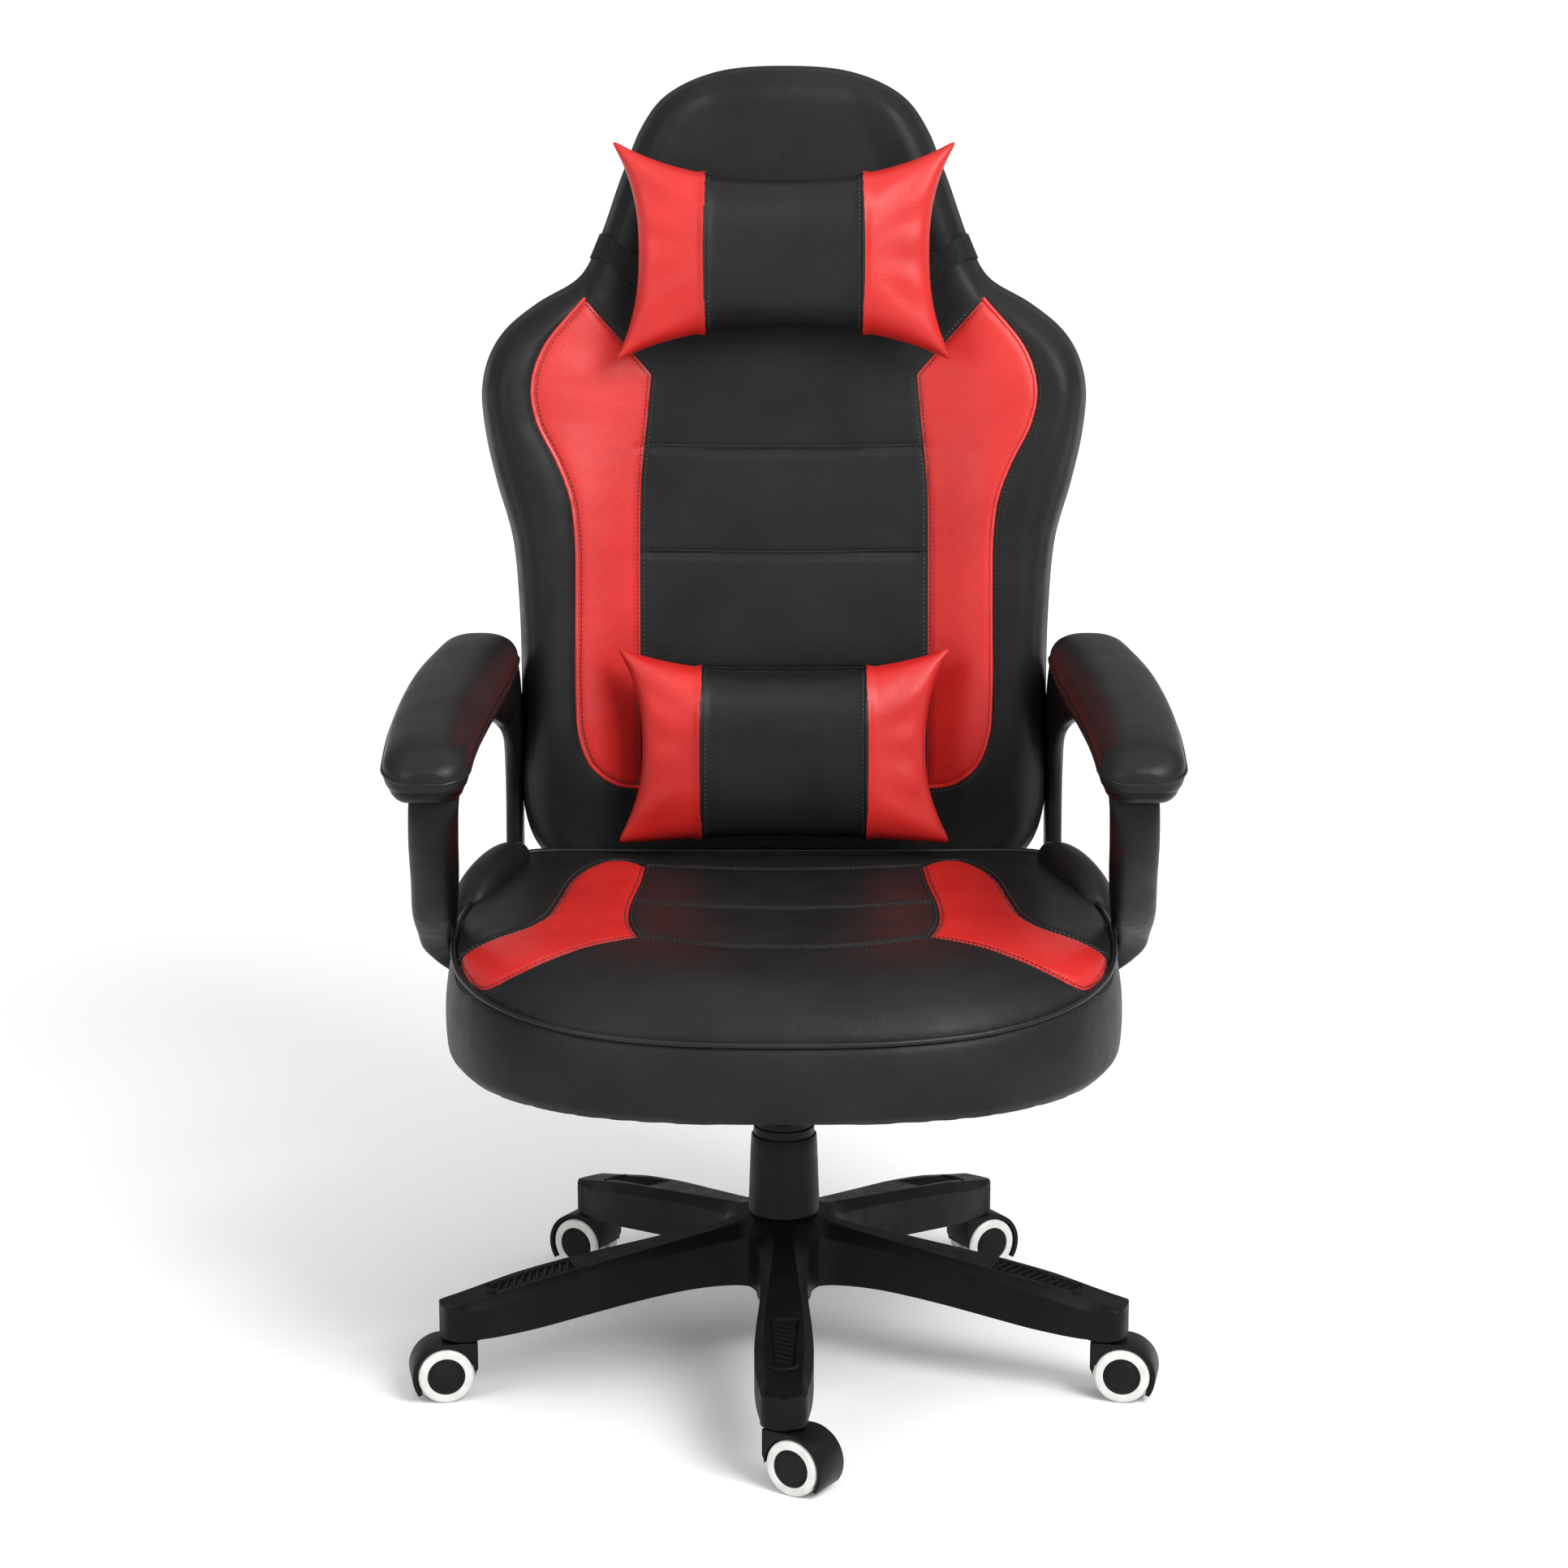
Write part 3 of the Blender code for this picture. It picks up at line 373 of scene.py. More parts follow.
def stitch_row(points, normals, pitch=0.0042, length=0.0028, radius=0.00045):
    """Short threads lying along a path on a surface, as (vertices, faces) pairs."""
    along = np.r_[0, np.cumsum(np.linalg.norm(np.diff(points, axis=0), axis=1))]
    made = []
    for centre in np.arange(pitch, along[-1] - pitch, pitch):
        at = [centre - length / 2, centre - length / 4, centre + length / 4, centre + length / 2]
        line = np.stack([np.interp(at, along, points[:, k]) for k in range(3)], axis=1)
        up = np.array([np.interp(centre, along, normals[:, k]) for k in range(3)])
        line += np.outer((-0.7, 0.6, 0.6, -0.7), up) * radius
        made.append(tube(line, radius, sides=5))
    return made


def stitched(bvh, *paths, direction=(0, 0, -1)):
    """Rows of stitches along flat paths dropped on to a surface, as (vertices, faces) pairs."""
    rows = [stitch_row(*drop(bvh, path, 0.0002, direction=direction)) for path in paths]
    return [thread for row in rows for thread in row]


def swell(obj, pinned, cap, smooth=12):
    """Blows the closed mesh up as cloth, held where pinned. Each point stays within about cap of its place.

    Each pass of smooth evens out how far neighbours moved, which takes out the cloth's small creases.
    """
    frames = 20
    before = coords(obj.data)
    group = obj.vertex_groups.new(name="pinned")
    group.add([int(i) for i in np.nonzero(pinned)[0]], 1.0, "REPLACE")
    cloth = obj.modifiers.new("swell", "CLOTH")
    put(cloth.settings, quality=6, mass=0.3, tension_stiffness=20, compression_stiffness=20,
        shear_stiffness=8, bending_stiffness=0.8, vertex_group_mass=group.name, use_pressure=True,
        uniform_pressure_force=4)
    cloth.settings.effector_weights.gravity = 0
    cloth.collision_settings.use_collision = False
    put(cloth.point_cache, frame_start=1, frame_end=frames)
    for number in range(1, frames + 1):
        scene.frame_set(number)
    graph = bpy.context.evaluated_depsgraph_get()
    shape = obj.evaluated_get(graph)
    after = coords(shape.to_mesh())
    shape.to_mesh_clear()
    obj.modifiers.remove(cloth)
    obj.vertex_groups.remove(group)
    scene.frame_set(1)
    move = after - before
    length = np.maximum(np.linalg.norm(move, axis=1), 1e-9)
    move *= (cap * np.tanh(length / cap) / length)[:, None]
    edges = np.empty(len(obj.data.edges) * 2, np.int32)
    obj.data.edges.foreach_get("vertices", edges)
    ends = edges.reshape(-1, 2)
    shared = np.bincount(edges, minlength=len(before))[:, None]
    for _ in range(smooth):
        around = np.zeros_like(move)
        np.add.at(around, ends[:, 0], move[ends[:, 1]])
        np.add.at(around, ends[:, 1], move[ends[:, 0]])
        move = around / shared * ~pinned[:, None]
    set_coords(obj.data, before + move)


def sew(obj, distance, width=0.0032, depth=0.0022):
    """Presses a groove into the mesh where distance, one number a point, is small; FAR is no groove."""
    points = coords(obj.data)
    press = depth * np.exp(-((distance / width) ** 2))
    set_coords(obj.data, points - vectors(obj.data.vertex_normals, "vector") * press[:, None])


def split(obj, field, name):
    """Cuts the mesh along the zero line of field, one number a point; its positive side is the new object."""
    bm = bmesh.new()
    bm.from_mesh(obj.data)
    value = bm.verts.layers.float.new("field")
    bm.verts.ensure_lookup_table()
    tiny = 2e-5
    for vertex, number in zip(bm.verts, field):
        vertex[value] = 0.0 if abs(number) < tiny else float(number)
    crossing = [e for e in bm.edges if e.verts[0][value] * e.verts[1][value] < 0]
    for edge in crossing:
        a, b = edge.verts
        share = a[value] / (a[value] - b[value])
        _, new = bmesh.utils.edge_split(edge, a, share)
        new[value] = 0.0
    for face in list(bm.faces):
        signs = {v[value] > 0 for v in face.verts if v[value] != 0}
        ends = [v for v in face.verts if v[value] == 0]
        if len(signs) == 2 and len(ends) == 2:
            try:
                bmesh.utils.face_split(face, *ends)
            except ValueError:
                pass
    marks = [sum(v[value] for v in face.verts) > 0 for face in bm.faces]
    copy = bm.copy()
    for half, apart in ((bm, True), (copy, False)):
        gone = [face for face, mark in zip(list(half.faces), marks) if mark == apart]
        bmesh.ops.delete(half, geom=gone, context="FACES")
    bm.to_mesh(obj.data)
    mesh = bpy.data.meshes.new(name)
    copy.to_mesh(mesh)
    bm.free()
    copy.free()
    shade(obj)
    return shade(linked(name, mesh))


def thicken(obj, thickness=0.0014):
    """Gives an open panel the thickness of its sheet, inwards."""
    put(obj.modifiers.new("thickness", "SOLIDIFY"), thickness=thickness, offset=-1)
    return bake(obj, sharp=50)


def placed(obj, matrix):
    obj.data.transform(matrix)
    return obj


def painted_all_over(obj, material):
    obj.data.materials.clear()
    obj.data.materials.append(material)


def finished(obj, material, slot, body=None, parent=None, replaces=()):
    """Gives a piece its material, hangs it on its body or parent, and hides the CAD parts it replaces."""
    painted_all_over(obj, material)
    if parent:
        obj.parent = parent
    else:
        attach(obj, body)
    if replaces:
        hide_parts(*replaces)
    return obj


def on_back(obj, *args, **options):
    """finished(), for a piece whose mesh was made on the backrest's face."""
    return finished(placed(obj, BACK_PLACE), *args, **options)


# ---- materials

class Surface:
    """A Principled material whose nodes work in the object's own coordinates."""

    def __init__(self, name, roughness=0.5, metallic=0.0):
        self.material = bpy.data.materials.new(name)
        self.material.use_nodes = True
        self.nodes = self.material.node_tree.nodes
        self.links = self.material.node_tree.links
        self.shader = self.nodes["Principled BSDF"]
        self.shader.inputs["Roughness"].default_value = roughness
        self.shader.inputs["Metallic"].default_value = metallic
        self.place = self.nodes.new("ShaderNodeTexCoord").outputs["Object"]

    def node(self, kind, inputs=(), **settings):
        made = put(self.nodes.new(kind), **settings)
        for key, value in dict(inputs).items():
            if isinstance(value, bpy.types.NodeSocket):
                self.links.new(value, made.inputs[key])
            else:
                made.inputs[key].default_value = value
        return made

    def noise(self, scale, detail=3.0, stretch=None):
        where = self.place
        if stretch:
            where = self.node("ShaderNodeMapping", {"Vector": self.place, "Scale": stretch}).outputs[0]
        return self.node("ShaderNodeTexNoise", {"Vector": where, "Scale": scale, "Detail": detail}).outputs[0]

    def cells(self, scale, randomness=1.0):
        return self.node(
            "ShaderNodeTexVoronoi", {"Vector": self.place, "Scale": scale, "Randomness": randomness}
        ).outputs["Distance"]

    def between(self, factor, low, high):
        """factor from 0.3 to 0.7, which is where noise lies, brought to low to high."""
        return self.node(
            "ShaderNodeMapRange",
            {"Value": factor, "From Min": 0.3, "From Max": 0.7, "To Min": low, "To Max": high},
        ).outputs[0]

    def colour(self, factor, dark, light):
        """Base colours, or greys given as one number, blended where factor goes from 0.3 to 0.7."""
        ramp = self.node("ShaderNodeValToRGB", {"Fac": factor})
        for end, position, shade_of in zip(ramp.color_ramp.elements, (0.3, 0.7), (dark, light)):
            end.position = position
            end.color = (*(shade_of if np.ndim(shade_of) else [shade_of] * 3), 1)
        self.links.new(ramp.outputs["Color"], self.shader.inputs["Base Color"])

    def rough(self, factor, low, high):
        self.links.new(self.between(factor, low, high), self.shader.inputs["Roughness"])

    def bump(self, *layers):
        """Layers of (height socket, strength, distance in metres), each on the one before."""
        normal = None
        for height, strength, distance in layers:
            inputs = {"Height": height, "Strength": strength, "Distance": distance}
            if normal:
                inputs["Normal"] = normal
            normal = self.node("ShaderNodeBump", inputs).outputs[0]
        self.links.new(normal, self.shader.inputs["Normal"])


def leatherette(name, dark, light, low, high, grain=0.35, shine=0.5):
    """Coated leather: fine pebbled grain over soft creases, patchy polish."""
    surface = Surface(name)
    surface.shader.inputs["Specular IOR Level"].default_value = shine
    surface.colour(surface.noise(14, 4), dark, light)
    surface.rough(surface.noise(35, 3), low, high)
    surface.bump(
        (surface.noise(55, 4), 0.25, 0.0016),
        (surface.cells(720), grain, 0.00035),
        (surface.noise(1500, 2), 0.2, 0.0002),
    )
    return surface.material


def plastic(name, dark, light, low=0.42, high=0.56, shine=0.22):
    """Moulded nylon: spark-eroded fine grain and faint flow marks."""
    surface = Surface(name)
    surface.shader.inputs["Specular IOR Level"].default_value = shine
    surface.colour(surface.noise(25, 3), dark, light)
    surface.rough(surface.noise(60, 3), low, high)
    surface.bump((surface.noise(1100, 2), 0.3, 0.00025), (surface.noise(18, 2), 0.12, 0.0015))
    return surface.material


def rubber(name, dark, light):
    surface = Surface(name)
    surface.colour(surface.noise(90, 4), dark, light)
    surface.rough(surface.noise(150, 3), 0.4, 0.6)
    surface.bump((surface.noise(700, 2), 0.2, 0.0002))
    return surface.material


def steel(name, dark, light, low, high, stretch=(40, 900, 900)):
    """Metal with fine lines along X, from drawing or grinding."""
    surface = Surface(name, metallic=1.0)
    lines = surface.noise(1.0, 2, stretch)
    surface.colour(lines, dark, light)
    surface.rough(lines, low, high)
    surface.bump((lines, 0.12, 0.0001))
    return surface.material


def painted(name):
    surface = Surface(name, metallic=0.3)
    surface.colour(surface.noise(40, 3), (0.022, 0.022, 0.024), (0.034, 0.034, 0.036))
    surface.rough(surface.noise(80, 3), 0.3, 0.45)
    surface.bump((surface.noise(500, 3), 0.25, 0.0003))
    return surface.material


def plywood(name, dark, light):
    """Face veneer with stretched grain; the same noise streaks the edges."""
    surface = Surface(name)
    grain = surface.noise(1.0, 5, (70, 8, 900))
    surface.colour(grain, dark, light)
    surface.rough(grain, 0.55, 0.72)
    surface.bump((grain, 0.3, 0.0003))
    return surface.material


def webbing(name):
    """Elastic band: ribs across a woven face."""
    surface = Surface(name)
    ribs, weft = (
        surface.node("ShaderNodeTexWave", {"Vector": surface.place, "Scale": scale, "Distortion": 0.4},
                     bands_direction=axis).outputs["Fac"] for scale, axis in ((240, "X"), (420, "Z")))
    surface.colour(surface.noise(300, 2), 0.003, (0.008, 0.008, 0.0082))
    surface.shader.inputs["Specular IOR Level"].default_value = 0.2
    surface.rough(surface.noise(200, 2), 0.75, 0.92)
    surface.bump((ribs, 0.35, 0.0004), (weft, 0.3, 0.0003))
    return surface.material


BLACK = leatherette(
    "black_leatherette", (0.0068, 0.0068, 0.007), (0.0106, 0.0106, 0.0108), 0.38, 0.48, shine=0.11)
RED = leatherette("red_leatherette", (0.345, 0.0085, 0.007), (0.415, 0.0135, 0.011), 0.38, 0.48, 0.3, 0.3)
PAD = leatherette(
    "pad_leatherette", (0.0062, 0.0062, 0.0064), (0.01, 0.01, 0.0102), 0.32, 0.41, 0.3, shine=0.15)
RED_PIPING = leatherette("red_piping", (0.36, 0.013, 0.012), (0.44, 0.022, 0.02), 0.34, 0.42, 0.2)
BLACK_PIPING = leatherette("black_piping", 0.005, 0.009, 0.3, 0.4, 0.2, 0.2)
THREAD = rubber("black_thread", 0.008, 0.018)
BASE_PLASTIC = plastic("base_nylon", (0.0026, 0.0026, 0.0027), (0.0044, 0.0044, 0.0045), shine=0.1)
COVER_PLASTIC = plastic("cover_plastic", 0.0028, 0.0048, 0.34, 0.46, 0.13)
CAP_PLASTIC = plastic("wheel_cap", 0.0032, 0.0056, shine=0.14)
TYRE = rubber("pale_tyre", (0.46, 0.46, 0.44), (0.56, 0.56, 0.54))
BRIGHT_STEEL = steel("bright_steel", (0.42, 0.43, 0.44), (0.6, 0.61, 0.62), 0.22, 0.36)
BLACK_STEEL = painted("black_steel")
PLY = plywood("plywood", (0.36, 0.22, 0.11), (0.62, 0.44, 0.26))
STAINED_PLY = plywood("black_stained_plywood", (0.01, 0.009, 0.008), (0.026, 0.024, 0.022))
ELASTIC = webbing("elastic_band")

# ---- base and casters

PIVOT = 0.3
TIP_RADIUS = 0.0205
WEDGE = math.tan(math.pi / 5)
LEG_TURNS = [-math.pi / 2 + n * math.tau / 5 for n in range(5)]
FORK = 0.044
WIDTHS = spline([
    (FORK, FORK * WEDGE), (0.048, 0.0288), (0.055, 0.0257), (0.065, 0.0234), (0.08, 0.0219),
    (0.11, 0.0206), (0.15, 0.0212), (0.2, 0.0243), (0.24, 0.0256), (0.27, 0.0241),
    (0.3, TIP_RADIUS),
], 0.002)
RIDGE = spline([
    (0.025, 0.1432), (0.037, 0.1431), (0.044, 0.1392), (0.06, 0.1352), (0.126, 0.1245),
    (0.19, 0.1145), (0.245, 0.1045), (0.29, 0.094), (0.314, 0.0885), (0.3215, 0.087),
], 0.002)
FEET = spline([(0.04, 0.085), (0.09, 0.0838), (0.126, 0.0803), (0.19, 0.072), (0.245, 0.064),
               (0.285, 0.0592), (0.3, 0.0586), (0.3215, 0.0586)], 0.002)
RIB_RECESS = (0.2, 0.274)    # where the ribbed recess starts and ends along a leg
RECESS_DEPTH = 0.0024
LEG_WALL = 0.0026
RIBS = 10


def leg_width(r):
    if r <= FORK:
        return r * WEDGE
    if r <= PIVOT:
        return float(read(WIDTHS, r))
    return TIP_RADIUS * max(1 - ((r - PIVOT) / TIP_RADIUS) ** 3.2, 0) ** (1 / 3.2)


def leg_flat(r):
    """Half the width of the flat middle of a leg's top."""
    return np.interp(r, (0.05, 0.19, 0.25, 0.3), (0.0075, 0.0165, 0.0175, 0.015))


def leg_top(r, y=0.0):
    """Height of a leg's top: flat in the middle, with a chamfer on each side."""
    flat = leg_flat(r)
    share = np.clip((abs(y) - flat) / max(leg_width(r) - flat, 0.001), 0, 1)
    chamfer = 0.0085 * smoothstep(0.036, 0.05, r) * (1 - 0.65 * smoothstep(0.285, 0.312, r))
    return read(RIDGE, r) - chamfer * share**1.15


def build_base():
    """Five hollow legs sharing one skin, with the hub, the caster sockets and the ribs apart."""
    first, last = RIB_RECESS
    rows = np.unique(np.round([
        *np.linspace(0.0256, FORK, 6), *np.linspace(FORK, 0.064, 12), *np.linspace(0.064, PIVOT, 62),
        first - 0.0006, first, last, last + 0.0006,
        *(PIVOT + TIP_RADIUS * np.sin(np.linspace(0, math.pi / 2, 12))),
    ], 5))
    parts = []
    for turn in LEG_TURNS:
        c, s = math.cos(turn), math.sin(turn)
        top, walls = [], ([], [])
        for r in rows:
            half = leg_width(r)
            flat = min(leg_flat(r), 0.8 * half)
            recess = min(np.interp(r, (first, last), (0.0125, 0.0088)), 0.75 * flat)
            side = [recess, recess + 0.0006, (recess + flat) / 2, flat, *np.linspace(flat, half, 6)[1:]]
            ys = np.array([-y for y in side[::-1]] + [-recess / 2, 0, recess / 2] + side)
            zs = np.array([leg_top(r, y) for y in ys])
            if first <= r <= last:
                zs[np.abs(ys) <= recess + 1e-6] -= RECESS_DEPTH
            top.append([(r * c - y * s, r * s + y * c, z) for y, z in zip(ys, zs)])
            if r >= FORK:
                foot = read(FEET, r)
                for wall, y in zip(walls, (half, -half)):
                    shoulder = leg_top(r, y)
                    wall.append([(r * c - y * s, r * s + y * c, shoulder + (foot - shoulder) * t)
                                 for t in (0, 0.12, 0.5, 0.88, 1)])
        parts.append((np.array(top).reshape(-1, 3), grid_faces(len(top), len(top[0]), wrap_columns=False)))
        for wall in walls:
            parts.append((np.array(wall).reshape(-1, 3), grid_faces(len(wall), 5, wrap_columns=False)))
    star = merged("base_star_skin", parts)
    join_doubles(star.data, 2e-5, top_up=True)
    thicken(star, LEG_WALL)
    shade(star, 24)
    finished(star, BASE_PLASTIC, "black_plastic", "base", replaces=("base_star",))

    extras = []
    hub = lathe("hub_core", [
        (0.0254, 0.0785), (0.035, 0.0785), (0.0365, 0.08), (0.0385, 0.133), (0.0254, 0.14),
    ], 72, closed=True)
    finished(hub, BASE_PLASTIC, "black_plastic", parent=star)
    for turn in LEG_TURNS:
        place = Matrix.Rotation(turn, 3, "Z")
        socket = lathe("socket", [
            (0.006, 0.0562), (0.0188, 0.0562), (0.0196, 0.057), (0.02, 0.062), (0.02, 0.072),
            (0.006, 0.076),
        ], 48, closed=True)
        placed(socket, Matrix.Translation((PIVOT, 0, 0)))
        points = [(coords(socket.data), [list(p.vertices) for p in socket.data.polygons])]
        bpy.data.objects.remove(socket)
        for number in range(RIBS):
            r = first + 0.0035 + number * 0.007
            half = np.interp(r, (first, last), (0.0105, 0.007))
            path = [(r + 0.003 * u, half * u, leg_top(r + 0.003 * u) - 0.0019) for u in np.linspace(-1, 1, 7)]
            points.append(tube(path, 0.0016, 8))
        lip = [(last + 0.0055 * (1 - u * u), 0.0125 * u) for u in np.linspace(-1, 1, 15)]
        points.append(tube([(r, y, leg_top(r) - 0.0002) for r, y in lip], 0.0015, 8))
        for vertices, faces in points:
            extras.append((vertices @ np.array(place).T, faces))
    details = merged("base_ribs_and_sockets", extras)
    finished(details, BASE_PLASTIC, "black_plastic", parent=star)


# Casters lie along X with the axle at AXLE; wheel profiles are (radius, distance from the caster's middle).
AXLE = Matrix.Translation((0.018, 0, 0.025))
HOOD = [*arc(0.03, -35, 96, 30), (-0.012, 0.03), (-0.0285, 0.03), (-0.0285, 0.0065), (-0.026, 0.0015),
        *arc(0.0262, -36, 180, 44)[::-1]]
WEB = [*arc(0.0293, -33, 96, 24), (-0.012, 0.0293), (-0.0278, 0.0293), (-0.0278, 0.007), (-0.008, -0.014),
       (0.01, -0.018)]
BOSS = [(0, 0.0488), (0.0095, 0.0488), (0.0095, 0.0552), (0.0089, 0.0556), (0, 0.0556)]
TYRE_CORNERS = [(0.0168, 0.019, 0.0006), (0.0232, 0.0186, 0.0014), (0.025, 0.0168, 0.0022),
                (0.025, 0.0062, 0.0016), (0.0238, 0.0048, 0.0012), (0.0168, 0.0048, 0.0004)]
WHEEL_CAP = [(0, 0.0196), (0.008, 0.0195), (0.0128, 0.019), (0.0134, 0.0184), (0.014, 0.0184),
             (0.0146, 0.0188), (0.0158, 0.0186), (0.0166, 0.0176), (0.0166, 0.005), (0, 0.005)]


def build_casters():
    for number, turn in enumerate(LEG_TURNS, 1):
        axle = joints[f"caster_{number}_left_roll"]["axis"]
        place = (Matrix.Translation((PIVOT * math.cos(turn), PIVOT * math.sin(turn), 0))
                 @ Matrix.Rotation(math.atan2(-axle[0], axle[1]), 4, "Z"))
        hood = prism("hood", HOOD, -0.0185, 0.0185)
        bake(rounded(hood, 0.0009, angle=35), sharp=40)
        web = prism("web", WEB, -0.004, 0.004)
        boss = lathe("boss", BOSS, 32)
        for each in (hood, web):
            placed(each, AXLE @ Matrix.Rotation(math.pi / 2, 4, "X"))
        for each in (hood, web, boss):
            placed(each, place).name = f"caster_{number}_{each.name}"
        name = f"caster_{number}"
        finished(hood, COVER_PLASTIC, "black_plastic", name, replaces=(f"{name}_hood",))
        finished(web, COVER_PLASTIC, "black_plastic", parent=hood)
        finished(boss, COVER_PLASTIC, "black_plastic", parent=hood)
        for side, word, quarter in ((1, "left", -1), (-1, "right", 1)):
            lay = place @ AXLE @ Matrix.Rotation(quarter * math.pi / 2, 4, "X")
            tyre = placed(lathe(f"{name}_tyre_{word}", fillet(TYRE_CORNERS), 72, closed=True), lay)
            cap = placed(lathe(f"{name}_wheel_cap_{word}", WHEEL_CAP, 72), lay)
            wheel = f"{name}_wheel_{word}"
            finished(tyre, TYRE, "pale_tread", f"{name}_{word}", replaces=(wheel,))
            finished(cap, CAP_PLASTIC, "black_plastic", parent=tyre)


def build_column():
    for name, body, profile in (
        ("cover_lower", "base", [
            (0.0281, 0.2155), (0.0288, 0.216), (0.0295, 0.215), (0.0303, 0.202), (0.0322, 0.145),
            (0.0326, 0.1438), (0.0302, 0.1438), (0.0281, 0.205)]),
        ("cover_middle", "cover_stage", [
            (0.0264, 0.224), (0.0272, 0.224), (0.0276, 0.2235), (0.0276, 0.1502), (0.0264, 0.1502)]),
        ("cover_upper", "lift", [
            (0.0247, 0.2616), (0.0259, 0.2616), (0.0259, 0.1782), (0.0247, 0.1782)]),
    ):
        cover = lathe(f"{name}_skin", profile, 72, closed=True)
        finished(cover, COVER_PLASTIC, "black_plastic", body, replaces=(name,))


# ---- arms

def section(half_width, half_height, power, count):
    """A rounded rectangle as (u, v) offsets."""
    angles = np.linspace(0, math.tau, count, endpoint=False)
    c, s = np.cos(angles), np.sin(angles)
    return np.stack([half_width * np.sign(c) * np.abs(c) ** (2 / power),
                     half_height * np.sign(s) * np.abs(s) ** (2 / power)], axis=1)


def behind(z):
    """Where the arm's rear leg runs, beside the back board."""
    return BACK_Y + (z - BACK_Z) * math.tan(BACK_LEAN) + 0.0366


def arm_loop():
    """(centre, wide direction, half width, half thickness) as rows of 8 numbers round the left arm."""
    across = (1, 0, 0)
    return [
        (0.2975, -0.16, 0.562, *across, 0.0215, 0.011),
        (0.3, -0.14, 0.528, *across, 0.0216, 0.0118),
        (0.3035, -0.09, 0.479, *across, 0.0211, 0.0118),
        (0.3085, -0.035, 0.433, *across, 0.02, 0.0116),
        (0.3118, 0.012, 0.403, *across, 0.0162, 0.011),
        (0.3112, 0.033, 0.386, *across, 0.0152, 0.01),
        (0.305, 0.047, 0.371, *across, 0.012, 0.0085),
        (0.2945, 0.057, 0.354, *across, 0.007, 0.008),
        (0.2895, 0.062, 0.328, *across, 0.0055, 0.008),
        (0.278, 0.066, 0.3065, 0.9, 0.3, 0.3, 0.009, 0.0055),
        (0.258, 0.072, 0.303, 0.4, 1, 0, 0.016, 0.005),
        (0.233, 0.105, 0.305, *across, 0.03, 0.005),
        (0.236, 0.15, 0.305, *across, 0.023, 0.005),
        (0.242, 0.19, 0.308, *across, 0.012, 0.007),
        (0.253, behind(0.335) - 0.001, 0.335, *across, 0.0084, 0.017),
        (0.2535, behind(0.42), 0.42, *across, 0.0084, 0.0172),
        (0.2535, behind(0.49) - 0.004, 0.49, *across, 0.0084, 0.0215),
        (0.2535, 0.219, 0.548, *across, 0.0086, 0.037),
        (0.256, 0.179, 0.585, 1, 0, 0.05, 0.0096, 0.037),
        (0.264, 0.125, 0.5925, 1, 0, 0.1, 0.0125, 0.024),
        (0.279, 0.055, 0.5985, *across, 0.018, 0.0125),
        (0.287, -0.01, 0.594, *across, 0.0208, 0.009),
        (0.293, -0.09, 0.586, *across, 0.0215, 0.0088),
        (0.2962, -0.142, 0.579, *across, 0.0216, 0.0092),
    ]


PAD_STATIONS = spline([
    (-0.206, 0.301, 0.0362, 0.6085, 0.5765), (-0.17, 0.302, 0.0372, 0.619, 0.58),
    (-0.09, 0.3, 0.04, 0.63, 0.59), (-0.016, 0.294, 0.0418, 0.639, 0.599),
    (0.045, 0.2865, 0.0418, 0.646, 0.606), (0.09, 0.2795, 0.0385, 0.651, 0.611),
    (0.14, 0.2745, 0.033, 0.653, 0.616),
], 0.002)


def pad_rings(shape, lower=0.0, upper=1.0, grow=0.0, front=-0.207, rear=0.142, corner=0.03, steps=52):
    """Rings along the left pad; shape is a loop of (u, v) with v from 0 at the bottom to 1 at the top."""
    along = (1 - np.cos(np.linspace(0, math.pi, steps))) / 2
    rings = []
    for y in front + (rear - front) * (0.002 + 0.996 * along):
        x, half, top, bottom = (read(PAD_STATIONS, y, column) for column in (1, 2, 3, 4))
        depth = min(y - front, rear - y, corner)
        curve = math.sqrt(max(corner**2 - (corner - depth) ** 2, 0)) / corner
        wide = half - corner * 0.92 * (1 - curve) + grow
        middle = bottom + (top - bottom) * 0.35
        low = middle + (bottom - middle) * (0.45 + 0.55 * curve)
        high = middle + (top - middle) * (0.35 + 0.65 * curve)
        span = high - low
        rings.append([(x + wide * u, y, low + span * (lower + (upper - lower) * v)) for u, v in shape])
    return rings


